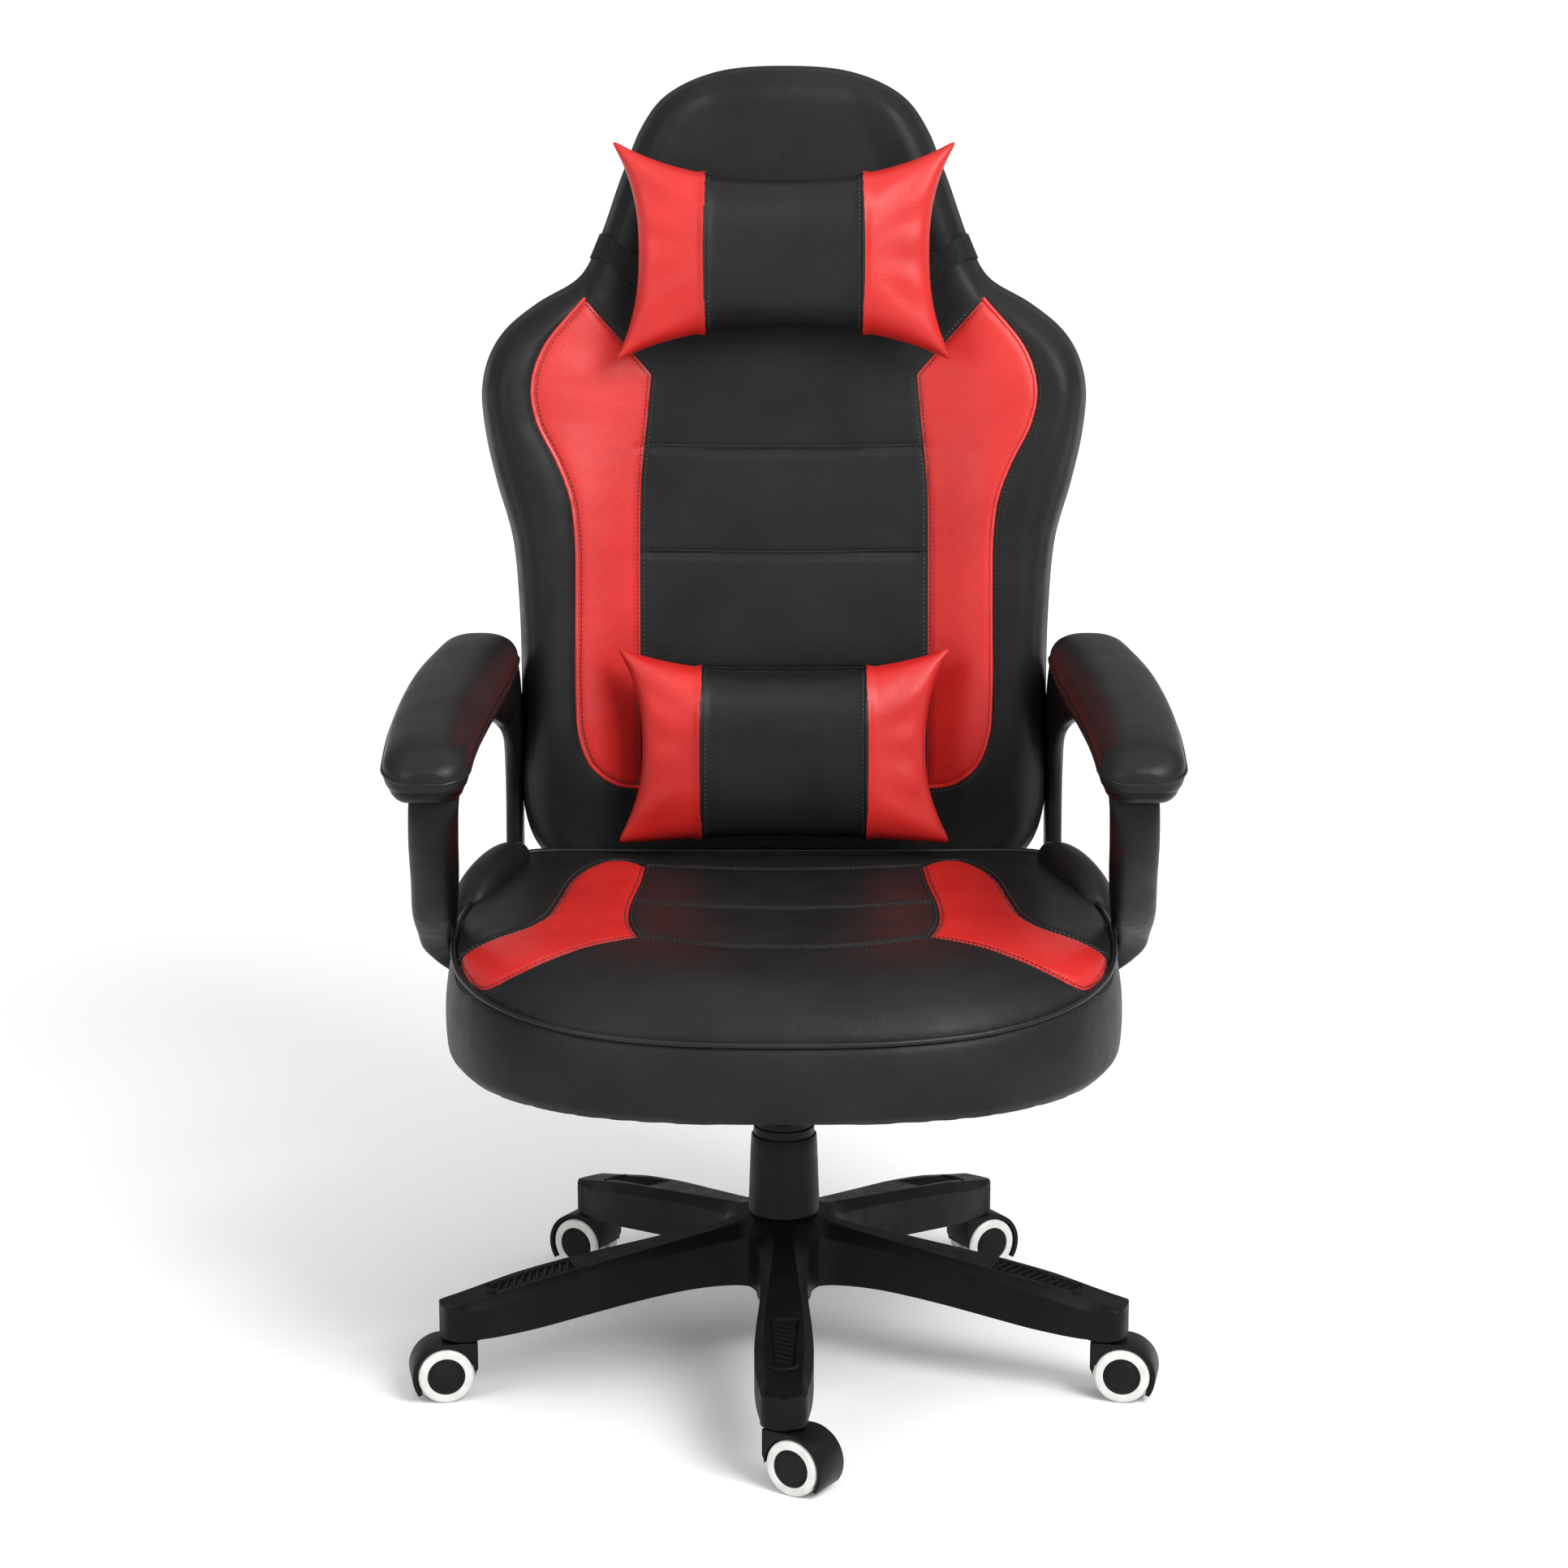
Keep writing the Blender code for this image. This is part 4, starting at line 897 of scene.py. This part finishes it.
def build_arm(side, word):
    across = (1 if side > 0 else -1, 1, 1)
    dense = spline(arm_loop(), 0.006, closed=True)
    centres = dense[:, :3]
    runs = np.roll(centres, -1, axis=0) - np.roll(centres, 1, axis=0)
    rings = []
    for row, run in zip(dense, runs):
        run = run / np.linalg.norm(run)
        thick = np.cross(run, row[3:6])
        thick /= np.linalg.norm(thick)
        wide = np.cross(thick, run)
        shape = section(row[6], row[7], 3.2, 32)
        rings.append((row[:3] + shape[:, :1] * wide + shape[:, 1:] * thick) * across)
    arm = loft(f"arm_loop_{word}", rings, closed=True, sharp=60)
    finished(arm, COVER_PLASTIC, "black_plastic", "seat", replaces=(f"arm_frame_{word}",))

    crown = [(np.sign(u) * abs(u) ** 0.8, 0.4 + 0.6 * v ** 0.8) for u, v in arc(1, 0, 180, 27)]
    shape = [*crown, (-0.985, 0.26), (-0.94, 0.12), (-0.86, 0), (0.86, 0), (0.94, 0.12), (0.985, 0.26)]
    pad = loft(f"armrest_{word}", np.array(pad_rings(shape)) * across, sharp=70)
    welt = np.array(pad_rings([(1, 0.4), (-1, 0.4)], grow=0.0003))
    path = np.vstack([welt[:, 0], welt[::-1, 1]]) * across
    points = coords(pad.data)
    swell(pad, points[:, 2] < read(PAD_STATIONS, points[:, 1], 4) + 0.006, 0.003, smooth=30)
    line = merged(f"armrest_piping_{word}", [tube(path, 0.0015, 8, closed=True)])
    finished(pad, PAD, "black_leather", "seat", replaces=(f"arm_pad_{word}",))
    finished(line, BLACK_PIPING, "black_leather", parent=pad)
    tray_shape = [(0.875, 1), (0.87, 0.8), (0.82, 0.5), (0.72, 0.22), (0.6, 0.05), (0.48, 0)]
    tray_shape += [(-u, v) for u, v in tray_shape[::-1]]
    tray = np.array(pad_rings(tray_shape, lower=-0.34, upper=0.06, front=-0.203, rear=0.138)) * across
    tray = loft(f"armrest_tray_{word}", tray, sharp=50)
    finished(tray, COVER_PLASTIC, "black_plastic", parent=pad)


# ---- seat

SEAT_RIM = spline(mirrored([
    (0.0, -0.287), (0.1, -0.281), (0.179, -0.2575), (0.2435, -0.207), (0.2785, -0.14),
    (0.29, -0.07), (0.2885, 0.0), (0.279, 0.06), (0.268, 0.115), (0.252, 0.165),
    (0.236, 0.183), (0.12, 0.186), (0.0, 0.186),
]), 0.003, closed=True)
SEAT_BOTTOM = 0.3142
SEAT_INLAY = np.vstack([
    spline([(0.1275, 0.1205), (0.1301, 0.0605), (0.1367, -0.0225), (0.1353, -0.085), (0.1267, -0.1295)]),
    spline([(0.1267, -0.1295), (0.1642, -0.153), (0.1978, -0.1775), (0.225, -0.1875), (0.2462, -0.185),
            (0.2575, -0.178), (0.27, -0.157), (0.28, -0.128), (0.2835, -0.102)])[1:],
    spline([(0.2835, -0.102), (0.2582, -0.103), (0.2304, -0.094), (0.2096, -0.0595), (0.1998, 0.001),
            (0.1921, 0.066), (0.1793, 0.1105), (0.1619, 0.139), (0.1431, 0.1385), (0.1275, 0.1205)])[1:-1],
])
SEAT_SEAMS = [
    spline([(-0.129, 0.1205), (-0.06, 0.115), (0.0, 0.1135), (0.06, 0.115), (0.129, 0.1205)]),
    spline([(-0.1365, -0.0085), (-0.07, -0.0195), (0.0, -0.0225), (0.07, -0.0195), (0.1365, -0.0085)]),
    spline([(-0.1267, -0.1295), (-0.0598, -0.1575), (0.0, -0.1625), (0.0598, -0.1575), (0.1267, -0.1295)]),
]


def seat_heights(x, y, depth):
    """(height of the rim's piping at this y, height of the crowned top at this depth inside the rim)."""
    edge = np.interp(y, (-0.287, -0.205, -0.1, 0.0, 0.1, 0.185), (0.384, 0.395, 0.405, 0.415, 0.423, 0.43))
    top = 0.4375 - (0.4375 - edge) * np.exp(-np.maximum(depth, 0) / 0.03)
    return edge, top - 0.006 * np.exp(-(x**2 + (y - 0.02) ** 2) / 0.14**2)


def build_seat():
    high = 0.09
    seat = even_block("seat_cover", SEAT_RIM, high, 0.006)
    points = coords(seat.data)
    depth, within, outward = edge_field(points[:, :2], SEAT_RIM)
    snap = np.where(depth < 0.0036, np.where(within, depth, -depth), 0)
    points[:, :2] += outward * snap[:, None]
    s = np.where(within & (snap == 0), depth, 0)
    t = np.clip(points[:, 2] / high, 0, 1)
    t[t < 0.04] = 0
    _, top = seat_heights(points[:, 0], points[:, 1], s)
    bulge = 0.005 * (1 - t) + 0.005 * np.sin(math.pi * t) - 0.008 * (1 - np.minimum(t / 0.12, 1)) ** 2
    bulge *= np.exp(-s / 0.012) * np.interp(points[:, 1], (0.12, 0.17), (1, 0.2))
    points[:, :2] += outward * bulge[:, None]
    points[:, 2] = SEAT_BOTTOM + (top - SEAT_BOTTOM) * t
    set_coords(seat.data, points)

    flat = points[:, :2]
    on_top = t > 0.93
    inlays = [SEAT_INLAY, flip_x(SEAT_INLAY)]
    seam = to_seams(flat, inlays, SEAT_SEAMS)
    pinned = (t < 0.2) | (on_top & (seam < 0.005)) | (s < 0.006) & (t > 0.8)
    swell(seat, pinned, 0.012)
    subdivided(seat)
    points = coords(seat.data)
    upper = points[:, 2] > 0.372
    flat = points[:, :2]
    rim, _ = nearest(flat, SEAT_RIM, closed=True)
    edge, _ = seat_heights(points[:, 0], points[:, 1], rim)
    rim = np.hypot(rim, points[:, 2] - edge)
    sew(seat, np.where(upper, to_seams(flat, inlays, SEAT_SEAMS), FAR), depth=0.0028)
    sew(seat, rim, 0.004, 0.002)
    bvh = tree_of(seat)

    inlay = split(seat, np.where(upper, signed(flat, *inlays), -0.01), "seat_inlays")
    finished(seat, BLACK, "black_leather", "seat", replaces=("seat_cushion",))
    thicken(inlay)
    finished(inlay, RED, "red_leather", parent=seat)

    edge, _ = seat_heights(SEAT_RIM[:, 0], SEAT_RIM[:, 1], np.zeros(len(SEAT_RIM)))
    rim_path = np.column_stack([SEAT_RIM, edge + 0.0006])
    piping = merged("seat_piping", [tube(rim_path, 0.0026, 10, closed=True)])
    finished(piping, BLACK_PIPING, "black_leather", parent=seat)
    rows = [beside(path, offset) for path in (*SEAT_SEAMS, *inlays) for offset in (-SEAM_SIDE, SEAM_SIDE)]
    stitches = merged("seat_stitches", stitched(bvh, *rows))
    finished(stitches, THREAD, "black_leather", parent=seat)

    for side, word in SIDES:
        shape = []
        for a in np.linspace(0.01, 0.99, 28):
            full = math.sin(math.pi * a) ** 0.42
            x = np.interp(a, (0, 0.3, 0.7, 1), (0.285, 0.28, 0.264, 0.248))
            middle = np.array((x, 0.036 + 0.142 * a, 0.407 + 0.013 * a))
            ring = section(0.003 + 0.0215 * full, 0.006 + 0.0325 * full, 2.2, 28)
            shape.append([middle + (u - 0.25 * v, 0, v) for u, v in ring])
        bolster = loft(f"seat_side_{word}", np.array(shape) * (side, 1, 1), sharp=80)
        subdivided(bolster)
        finished(bolster, BLACK, "black_leather", "seat", replaces=(f"seat_bolster_{word}",))


# ---- backrest

BACK_EDGE = spline(mirrored([
    (0.0, 0.723), (0.064, 0.717), (0.109, 0.695), (0.13, 0.666), (0.14, 0.642),
    (0.149, 0.619), (0.17, 0.561), (0.187, 0.53), (0.2265, 0.506), (0.256, 0.482),
    (0.27, 0.46), (0.277, 0.431), (0.274, 0.39), (0.264, 0.345), (0.249, 0.291),
    (0.243, 0.224), (0.2415, 0.162), (0.24, 0.035), (0.226, 0.0), (0.19, -0.025),
    (0.0, -0.03),
]), 0.004, closed=True)


def face_height(z):
    """Height along the leaning face of a point seen at this world height."""
    return (z - BACK_Z) / math.cos(BACK_LEAN)


def on_face(*points):
    """A smooth path on the backrest's face through points given as x and world height."""
    return spline([(x, face_height(z)) for x, z in points])


WING_OUTER = on_face(
    (0.184, 0.938), (0.2215, 0.892), (0.232, 0.857), (0.227, 0.8255), (0.208, 0.787), (0.1965, 0.755),
    (0.192, 0.7165), (0.1916, 0.669), (0.192, 0.571), (0.189, 0.535), (0.178, 0.508), (0.156, 0.491),
    (0.1335, 0.487),
)
WING_INNER = np.vstack([
    on_face((0.1335, 0.487), (0.1335, 0.57), (0.1335, 0.611), (0.1335, 0.7), (0.133, 0.748),
            (0.131, 0.787), (0.127, 0.8255), (0.123, 0.869)),
    on_face((0.123, 0.869), (0.151, 0.901), (0.184, 0.938))[1:],
])
WING = np.vstack([WING_OUTER, WING_INNER[1:-1]])
ROLLS = [face_height(z) for z in (0.802, 0.705, 0.597)]


# (height, x) of the wing's inner and outer seams, carried on to the backrest's ends
INNER_LINE = [(-0.03, 0.14), (0.14, 0.1335), (0.32, 0.133), (0.4, 0.127), (0.443, 0.123), (0.52, 0.135),
              (0.6, 0.11), (0.73, 0.06)]
OUTER_LINE = [(-0.03, 0.185), (0.06, 0.18), (0.106, 0.189), (0.14, 0.192), (0.29, 0.192), (0.328, 0.1965),
              (0.36, 0.208), (0.399, 0.227), (0.431, 0.232), (0.466, 0.2215), (0.512, 0.184), (0.6, 0.135),
              (0.73, 0.08)]


def back_depth(x, h, s):
    """How far the padded front stands off the backrest's plane, at depth s inside its edge."""
    x = np.abs(x)
    inner, outer = read(INNER_LINE, h), read(OUTER_LINE, h)
    strength = 0.25 + 0.75 * smoothstep(0.0, 0.13, h) * (1 - smoothstep(0.42, 0.56, h))
    wing = smoothstep(0, 1, (x - inner + 0.012) / (outer - inner + 0.012))
    bolster = np.sin(math.pi * np.clip((x - outer) / 0.055, 0, 1))
    level = -0.006 + strength * (0.027 * wing + 0.007 * bolster)
    level += 0.01 * smoothstep(0.5, 0.62, h)
    return level - quarter_round(s, 0.026)


def build_back():
    high, rear = 0.06, -0.0395
    back = even_block("back_cover_front", BACK_EDGE, high, 0.0066)
    points = coords(back.data)
    x, h = points[:, 0], points[:, 1]
    depth, within, outward = edge_field(points[:, :2], BACK_EDGE)
    s = np.where(within, depth, 0)
    t = np.clip(points[:, 2] / high, 0, 1)
    points[:, 2] = rear + (back_depth(x, h, s) - rear) * t
    bulge = 0.004 * np.sin(math.pi * t) * np.exp(-s / 0.012)
    points[:, :2] += outward * bulge[:, None]
    set_coords(back.data, points)

    wings = [WING, flip_x(WING)]
    rolls = [spline([(-0.1335, roll), (0, roll - 0.002), (0.1335, roll)]) for roll in ROLLS]
    over_wing = spline([(0.184, 0.5124), (0.1835, 0.521), (0.18, 0.533)])
    seams = [*rolls, *(over_wing * (side, 1) for side, _ in SIDES)]
    seam = to_seams(points[:, :2], wings, seams)
    head = points[:, 1] > 0.49
    pinned = (t < 0.3) | (seam < 0.005) & (t > 0.8) | (points[:, 1] < -0.018) | head
    swell(back, pinned, 0.009, smooth=16)
    subdivided(back)
    points = coords(back.data)
    front = points[:, 2] > -0.022
    flat = points[:, :2]
    sew(back, np.where(front, to_seams(flat, wings, seams), FAR), 0.0032, 0.0026)
    depth, within, _ = edge_field(flat, BACK_EDGE)
    sew(back, np.where((points[:, 1] > 0.02) & within & front, np.abs(depth - 0.0075), FAR), 0.0018, 0.0011)
    bvh = tree_of(back)
    wing = split(back, np.where(front, signed(flat, *wings), -0.01), "back_wings")
    rows, welts = [], []
    for mirror in (1, -1):
        outer, inner = WING_OUTER * (mirror, 1), WING_INNER * (mirror, 1)
        welts.append(tube(drop(bvh, outer, 0.0002)[0], 0.0019, 8))
        rows += [beside(outer, -0.0042), beside(inner, -0.003), beside(inner, 0.003)]
    rows += [path + (0, offset) for path in rolls for offset in (-0.003, 0.003)]
    on_back(back, BLACK, "black_leather", "seat", replaces=("back_cushion",))
    on_back(thicken(wing), RED, "red_leather", parent=back)
    on_back(merged("back_wing_piping", welts), RED_PIPING, "red_leather", parent=back)
    on_back(merged("back_stitches", stitched(bvh, *rows)), THREAD, "black_leather", parent=back)

    high = 0.0145
    shell = even_block("back_rear_cover", BACK_EDGE, high, 0.0072)
    points = coords(shell.data)
    depth, within, _ = edge_field(points[:, :2], BACK_EDGE)
    t = np.clip(points[:, 2] / high, 0, 1)
    crown = 0.0045 * smoothstep(0.02, 0.12, np.where(within, depth, 0))
    points[:, 2] = -0.04 - (0.014 - quarter_round(depth, 0.012) + crown) * (1 - t) - 0.001 * t
    set_coords(shell.data, points)
    subdivided(shell)
    inset = 0.026
    points = coords(shell.data)
    depth, _ = nearest(points[:, :2], BACK_EDGE, closed=True)
    rear_seam = np.where(points[:, 2] < -0.046, np.abs(depth - inset), 1.0)
    sew(shell, rear_seam, 0.0034, 0.0018)
    shell_tree = tree_of(shell)
    rows = []
    for offset in (inset - SEAM_SIDE, inset + SEAM_SIDE):
        row = beside(BACK_EDGE, offset, closed=True)
        rows.append(row[nearest(row, BACK_EDGE, closed=True)[0] > offset - 0.0004])
    threads = stitched(shell_tree, *rows, direction=(0, 0, 1))
    on_back(shell, BLACK, "black_leather", "seat", replaces=("back_cover",))
    loop = np.column_stack([BACK_EDGE * (0.9985, 0.9985), np.full(len(BACK_EDGE), -0.04)])
    welt = merged("back_rear_piping", [tube(loop, 0.0022, 8, closed=True)])
    on_back(welt, BLACK_PIPING, "black_leather", parent=shell)
    on_back(merged("back_rear_stitches", threads), THREAD, "black_leather", parent=shell)
    return bvh, shell_tree


# ---- pillows

def evened(points, passes=12):
    """The path with each inner point drawn to the middle of its neighbours, this many times."""
    points = points.copy()
    for _ in range(passes):
        points[1:-1] = (points[:-2] + 2 * points[1:-1] + points[2:]) / 4
    return points


def build_pillow(name, body, waist, corner, low_corner, top, bottom, top_dip, bottom_dip, seam, front, blunt):
    """A pillow with pointed corners: two red ends round a black middle.

    waist, corner and low_corner are half widths, top and bottom are the corners' heights, and the dips say
    how far its middle is pulled in from them. The seams run at x = seam. Heights and depths are on the
    backrest's face.
    """
    middle, rear = 0.034, 0.004
    columns, rows = 57, 37
    u, v = np.meshgrid(np.linspace(-1, 1, columns), np.linspace(-1, 1, rows))
    centre, half = (top + bottom) / 2, (top - bottom) / 2
    reach_out = np.where(v > 0, corner, low_corner)
    x = u * (waist + (reach_out - waist) * np.abs(v) ** 2.4)
    reach = np.where(v > 0, half - top_dip, half - bottom_dip)
    h = centre + v * (reach + (half - reach) * np.abs(u) ** 2.6)
    cut = blunt * np.abs(u) ** 9 * np.maximum(-v, 0) ** 9
    x, h = x - np.sign(u) * cut, h + 0.5 * cut
    full = ((1 - np.abs(u) ** 3.2) * (1 - np.abs(v) ** 2.6)) ** 0.5
    line = middle + 0.012 * np.abs(u) ** 3
    folds = 0.0012 * np.sin(9 * np.arctan2(v * half, u * waist) * 2.0) * smoothstep(0.62, 0.95, np.abs(u))
    folds *= full**0.5
    sheets = [np.stack([x, h, line + (front - middle) * full + folds], -1),
              np.stack([x, h, line - (middle - rear) * full * (1 - 0.45 * np.abs(u) ** 2)], -1)]
    parts = [(sheet.reshape(-1, 3), grid_faces(rows, columns, wrap_columns=False)) for sheet in sheets]
    pillow = merged(f"{name}_cover", parts)
    join_doubles(pillow.data, 1e-5)
    points = coords(pillow.data)
    rear_side = points[:, 2] < middle - 0.004
    pinned = (np.abs(np.abs(points[:, 0]) - seam) < 0.003) | rear_side
    boundary = np.abs(points[:, 2] - middle - 0.012 * np.abs(points[:, 0] / corner) ** 3) < 0.002
    swell(pillow, pinned | boundary, 0.008)
    subdivided(pillow)
    points = coords(pillow.data)
    sew(pillow, np.abs(np.abs(points[:, 0]) - seam), 0.0042, 0.0022)
    bvh = tree_of(pillow)
    field = np.abs(coords(pillow.data)[:, 0]) - seam
    ends = split(pillow, field, f"{name}_ends")
    rows, welts = [], []
    for mirror in (1, -1):
        path = np.array([(mirror * seam, y) for y in np.linspace(bottom + 0.002, top - 0.002, 60)])
        welts.append(tube(evened(drop(bvh, path, 0.0005)[0]), 0.0017, 8))
        rows += [path + (offset, 0) for offset in (-0.0034, 0.0034)]
    on_back(pillow, BLACK, "black_leather", body, replaces=(name,))
    on_back(thicken(ends), RED, "red_leather", parent=pillow)
    on_back(merged(f"{name}_welts", welts), BLACK_PIPING, "black_leather", parent=pillow)
    on_back(merged(f"{name}_stitches", stitched(bvh, *rows)), THREAD, "black_leather", parent=pillow)


def build_strap(trees):
    """The head pillow's elastic band round the backrest's neck, given the trees of its front and rear."""
    reach, half, centre = 0.2, 0.15, -0.02
    path = []    # points round the neck, each with the point it aims at
    for side, _ in SIDES:
        path += [((side * x, side * reach), (side * x, centre)) for x in np.linspace(-half, half, 31)]
        path += [((side * (half + reach * math.cos(a)), centre + side * reach * math.sin(a)),
                  (side * half, centre)) for a in np.linspace(math.pi / 2, -math.pi / 2, 27)[1:-1]]
    rings = []
    for lift, levels in ((0.0004, (0, 0.5, 1)), (0.0019, (1, 0.5, 0))):
        for level in levels:
            ring = []
            for (x, d), (to_x, to_d) in path:
                aim = Vector((to_x - x, 0, to_d - d)).normalized()
                near_x = abs(to_x) + 0.03 * abs(aim.x)
                rise = float(smoothstep(0.128, 0.178, near_x))
                h = 0.5214 + 0.0284 * rise + level * (0.0313 - 0.0086 * rise)
                found = [tree.ray_cast(Vector((x, h, d)), aim) for tree in trees]
                hits = [(distance, spot) for spot, _, _, distance in found if spot]
                ring.append(min(hits, key=lambda hit: hit[0])[1] - aim * lift)
            rings.append([(p.x, p.y, p.z) for p in ring])
    strap = loft("head_strap_band", rings, closed=True, sharp=50)
    on_back(strap, ELASTIC, "elastic", "head_rest", replaces=("head_strap",))
    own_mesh(strap)


def dress_nodes():
    """Materials for the CAD nodes that show as they are."""
    bolts = [f"{part}_bolt_{word}" for part in ("seat", "back") for _, word in SIDES]
    pins = [f"caster_{number}_{part}" for number in range(1, 6) for part in ("stem", "axle")]
    for material, names in (
        (BLACK_STEEL, ["tilt_housing", "seat_plate", "gas_outer_tube"]),
        (COVER_PLASTIC, ["lever_handle", "tension_knob", "guide_bush"]),
        (STAINED_PLY, ["seat_board"]), (PLY, ["back_board"]),
        (BRIGHT_STEEL, ["gas_cylinder", "gas_piston_rod", "release_pin", "thrust_bearing", "tilt_pin",
                        "tension_spring", "height_lever", *bolts, *pins]),
    ):
        for name in names:
            painted_all_over(frame["nodes"][name], material)
    for name in ("tilt_housing", "seat_plate", "tension_knob"):
        rounded(frame["nodes"][name], 0.0006, angle=40)


FLOOR_REACH = 300
# painted shade: the floor is coloured darker under the chair, where the softboxes light it most, so it
# renders evenly white
FLOOR_NEAR_PAINTED_SHADE, FLOOR_FAR = 0.76, 0.94    # the floor's paleness under the chair and 4 m away
SKY_LIGHT = 0.42
SUN = {"energy": 2.6, "angle": math.radians(110)}
SUN_TURN = (math.radians(28), math.radians(14), 0)
SOFTBOXES = (    # name, place, width, power
    ("key", (1.9, -2.5, 3.0), 1.8, 170),
    ("fill", (-2.4, -2.4, 1.8), 1.4, 34),
)
AIM = (0, 0, 0.6)
CAMERA_PLACE = (0, -3.711, 1.427)
CAMERA_TURN = (math.radians(76.55), 0, 0)
LENS = {"lens": 98.85, "sensor_width": 36, "clip_end": 900}


def build_stage():
    """A pale floor under soft studio lights, with painted shade making it darker under the chair where the
    lamps light it most, and the camera of the photo.
    """
    corners = [(x * FLOOR_REACH, y * FLOOR_REACH, 0) for x, y in ((-1, -1), (1, -1), (1, 1), (-1, 1))]
    floor = piece("floor", corners, [(0, 1, 2, 3)])
    paint = Surface("pale_floor", roughness=0.9)
    paint.shader.inputs["Specular IOR Level"].default_value = 0.0
    # painted shade: a spherical gradient in the floor's own coordinates paints it darker towards the chair,
    # to even out the lamps' pool of light
    near = paint.node("ShaderNodeMapping", {"Vector": paint.place, "Scale": [0.24] * 3}).outputs[0]
    near = paint.node("ShaderNodeTexGradient", {"Vector": near}, gradient_type="SPHERICAL").outputs["Fac"]
    paint.colour(near, FLOOR_FAR, FLOOR_NEAR_PAINTED_SHADE)
    floor.data.materials.append(paint.material)
    world = bpy.data.worlds.new("studio")
    world.use_nodes = True
    background = world.node_tree.nodes["Background"].inputs
    background["Color"].default_value = (1, 1, 1, 1)
    background["Strength"].default_value = SKY_LIGHT
    scene.world = world
    sun = put(bpy.data.lights.new("softbox_sun", "SUN"), **SUN)
    linked("softbox_sun", sun).rotation_euler = SUN_TURN
    for name, place, size, power in SOFTBOXES:
        lamp = linked(name, put(bpy.data.lights.new(name, "AREA"), size=size, energy=power))
        turn = (Vector(AIM) - Vector(place)).to_track_quat("-Z", "Y").to_euler()
        put(lamp, location=place, rotation_euler=turn)
    scene.camera = linked("photo", put(bpy.data.cameras.new("photo"), **LENS))
    put(scene.camera, location=CAMERA_PLACE, rotation_euler=CAMERA_TURN)
    scene.view_settings.view_transform = "Standard"


build_stage()
dress_nodes()
build_base()
build_casters()
build_column()
for side, word in SIDES:
    build_arm(side, word)
build_seat()
back_trees = build_back()
build_pillow("head_pillow", "head_rest", waist=0.133, corner=0.158, low_corner=0.154, top=0.656, bottom=0.455,
             top_dip=0.035, bottom_dip=0.03, seam=0.072, front=0.073, blunt=0)
build_pillow("lumbar_pillow", "lumbar_rest", waist=0.131, corner=0.154, low_corner=0.159, top=0.193,
             bottom=0.009, top_dip=0.023, bottom_dip=0.006, seam=0.076, front=0.074, blunt=0.006)
build_strap(back_trees)
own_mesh(frame["nodes"]["tension_spring"])
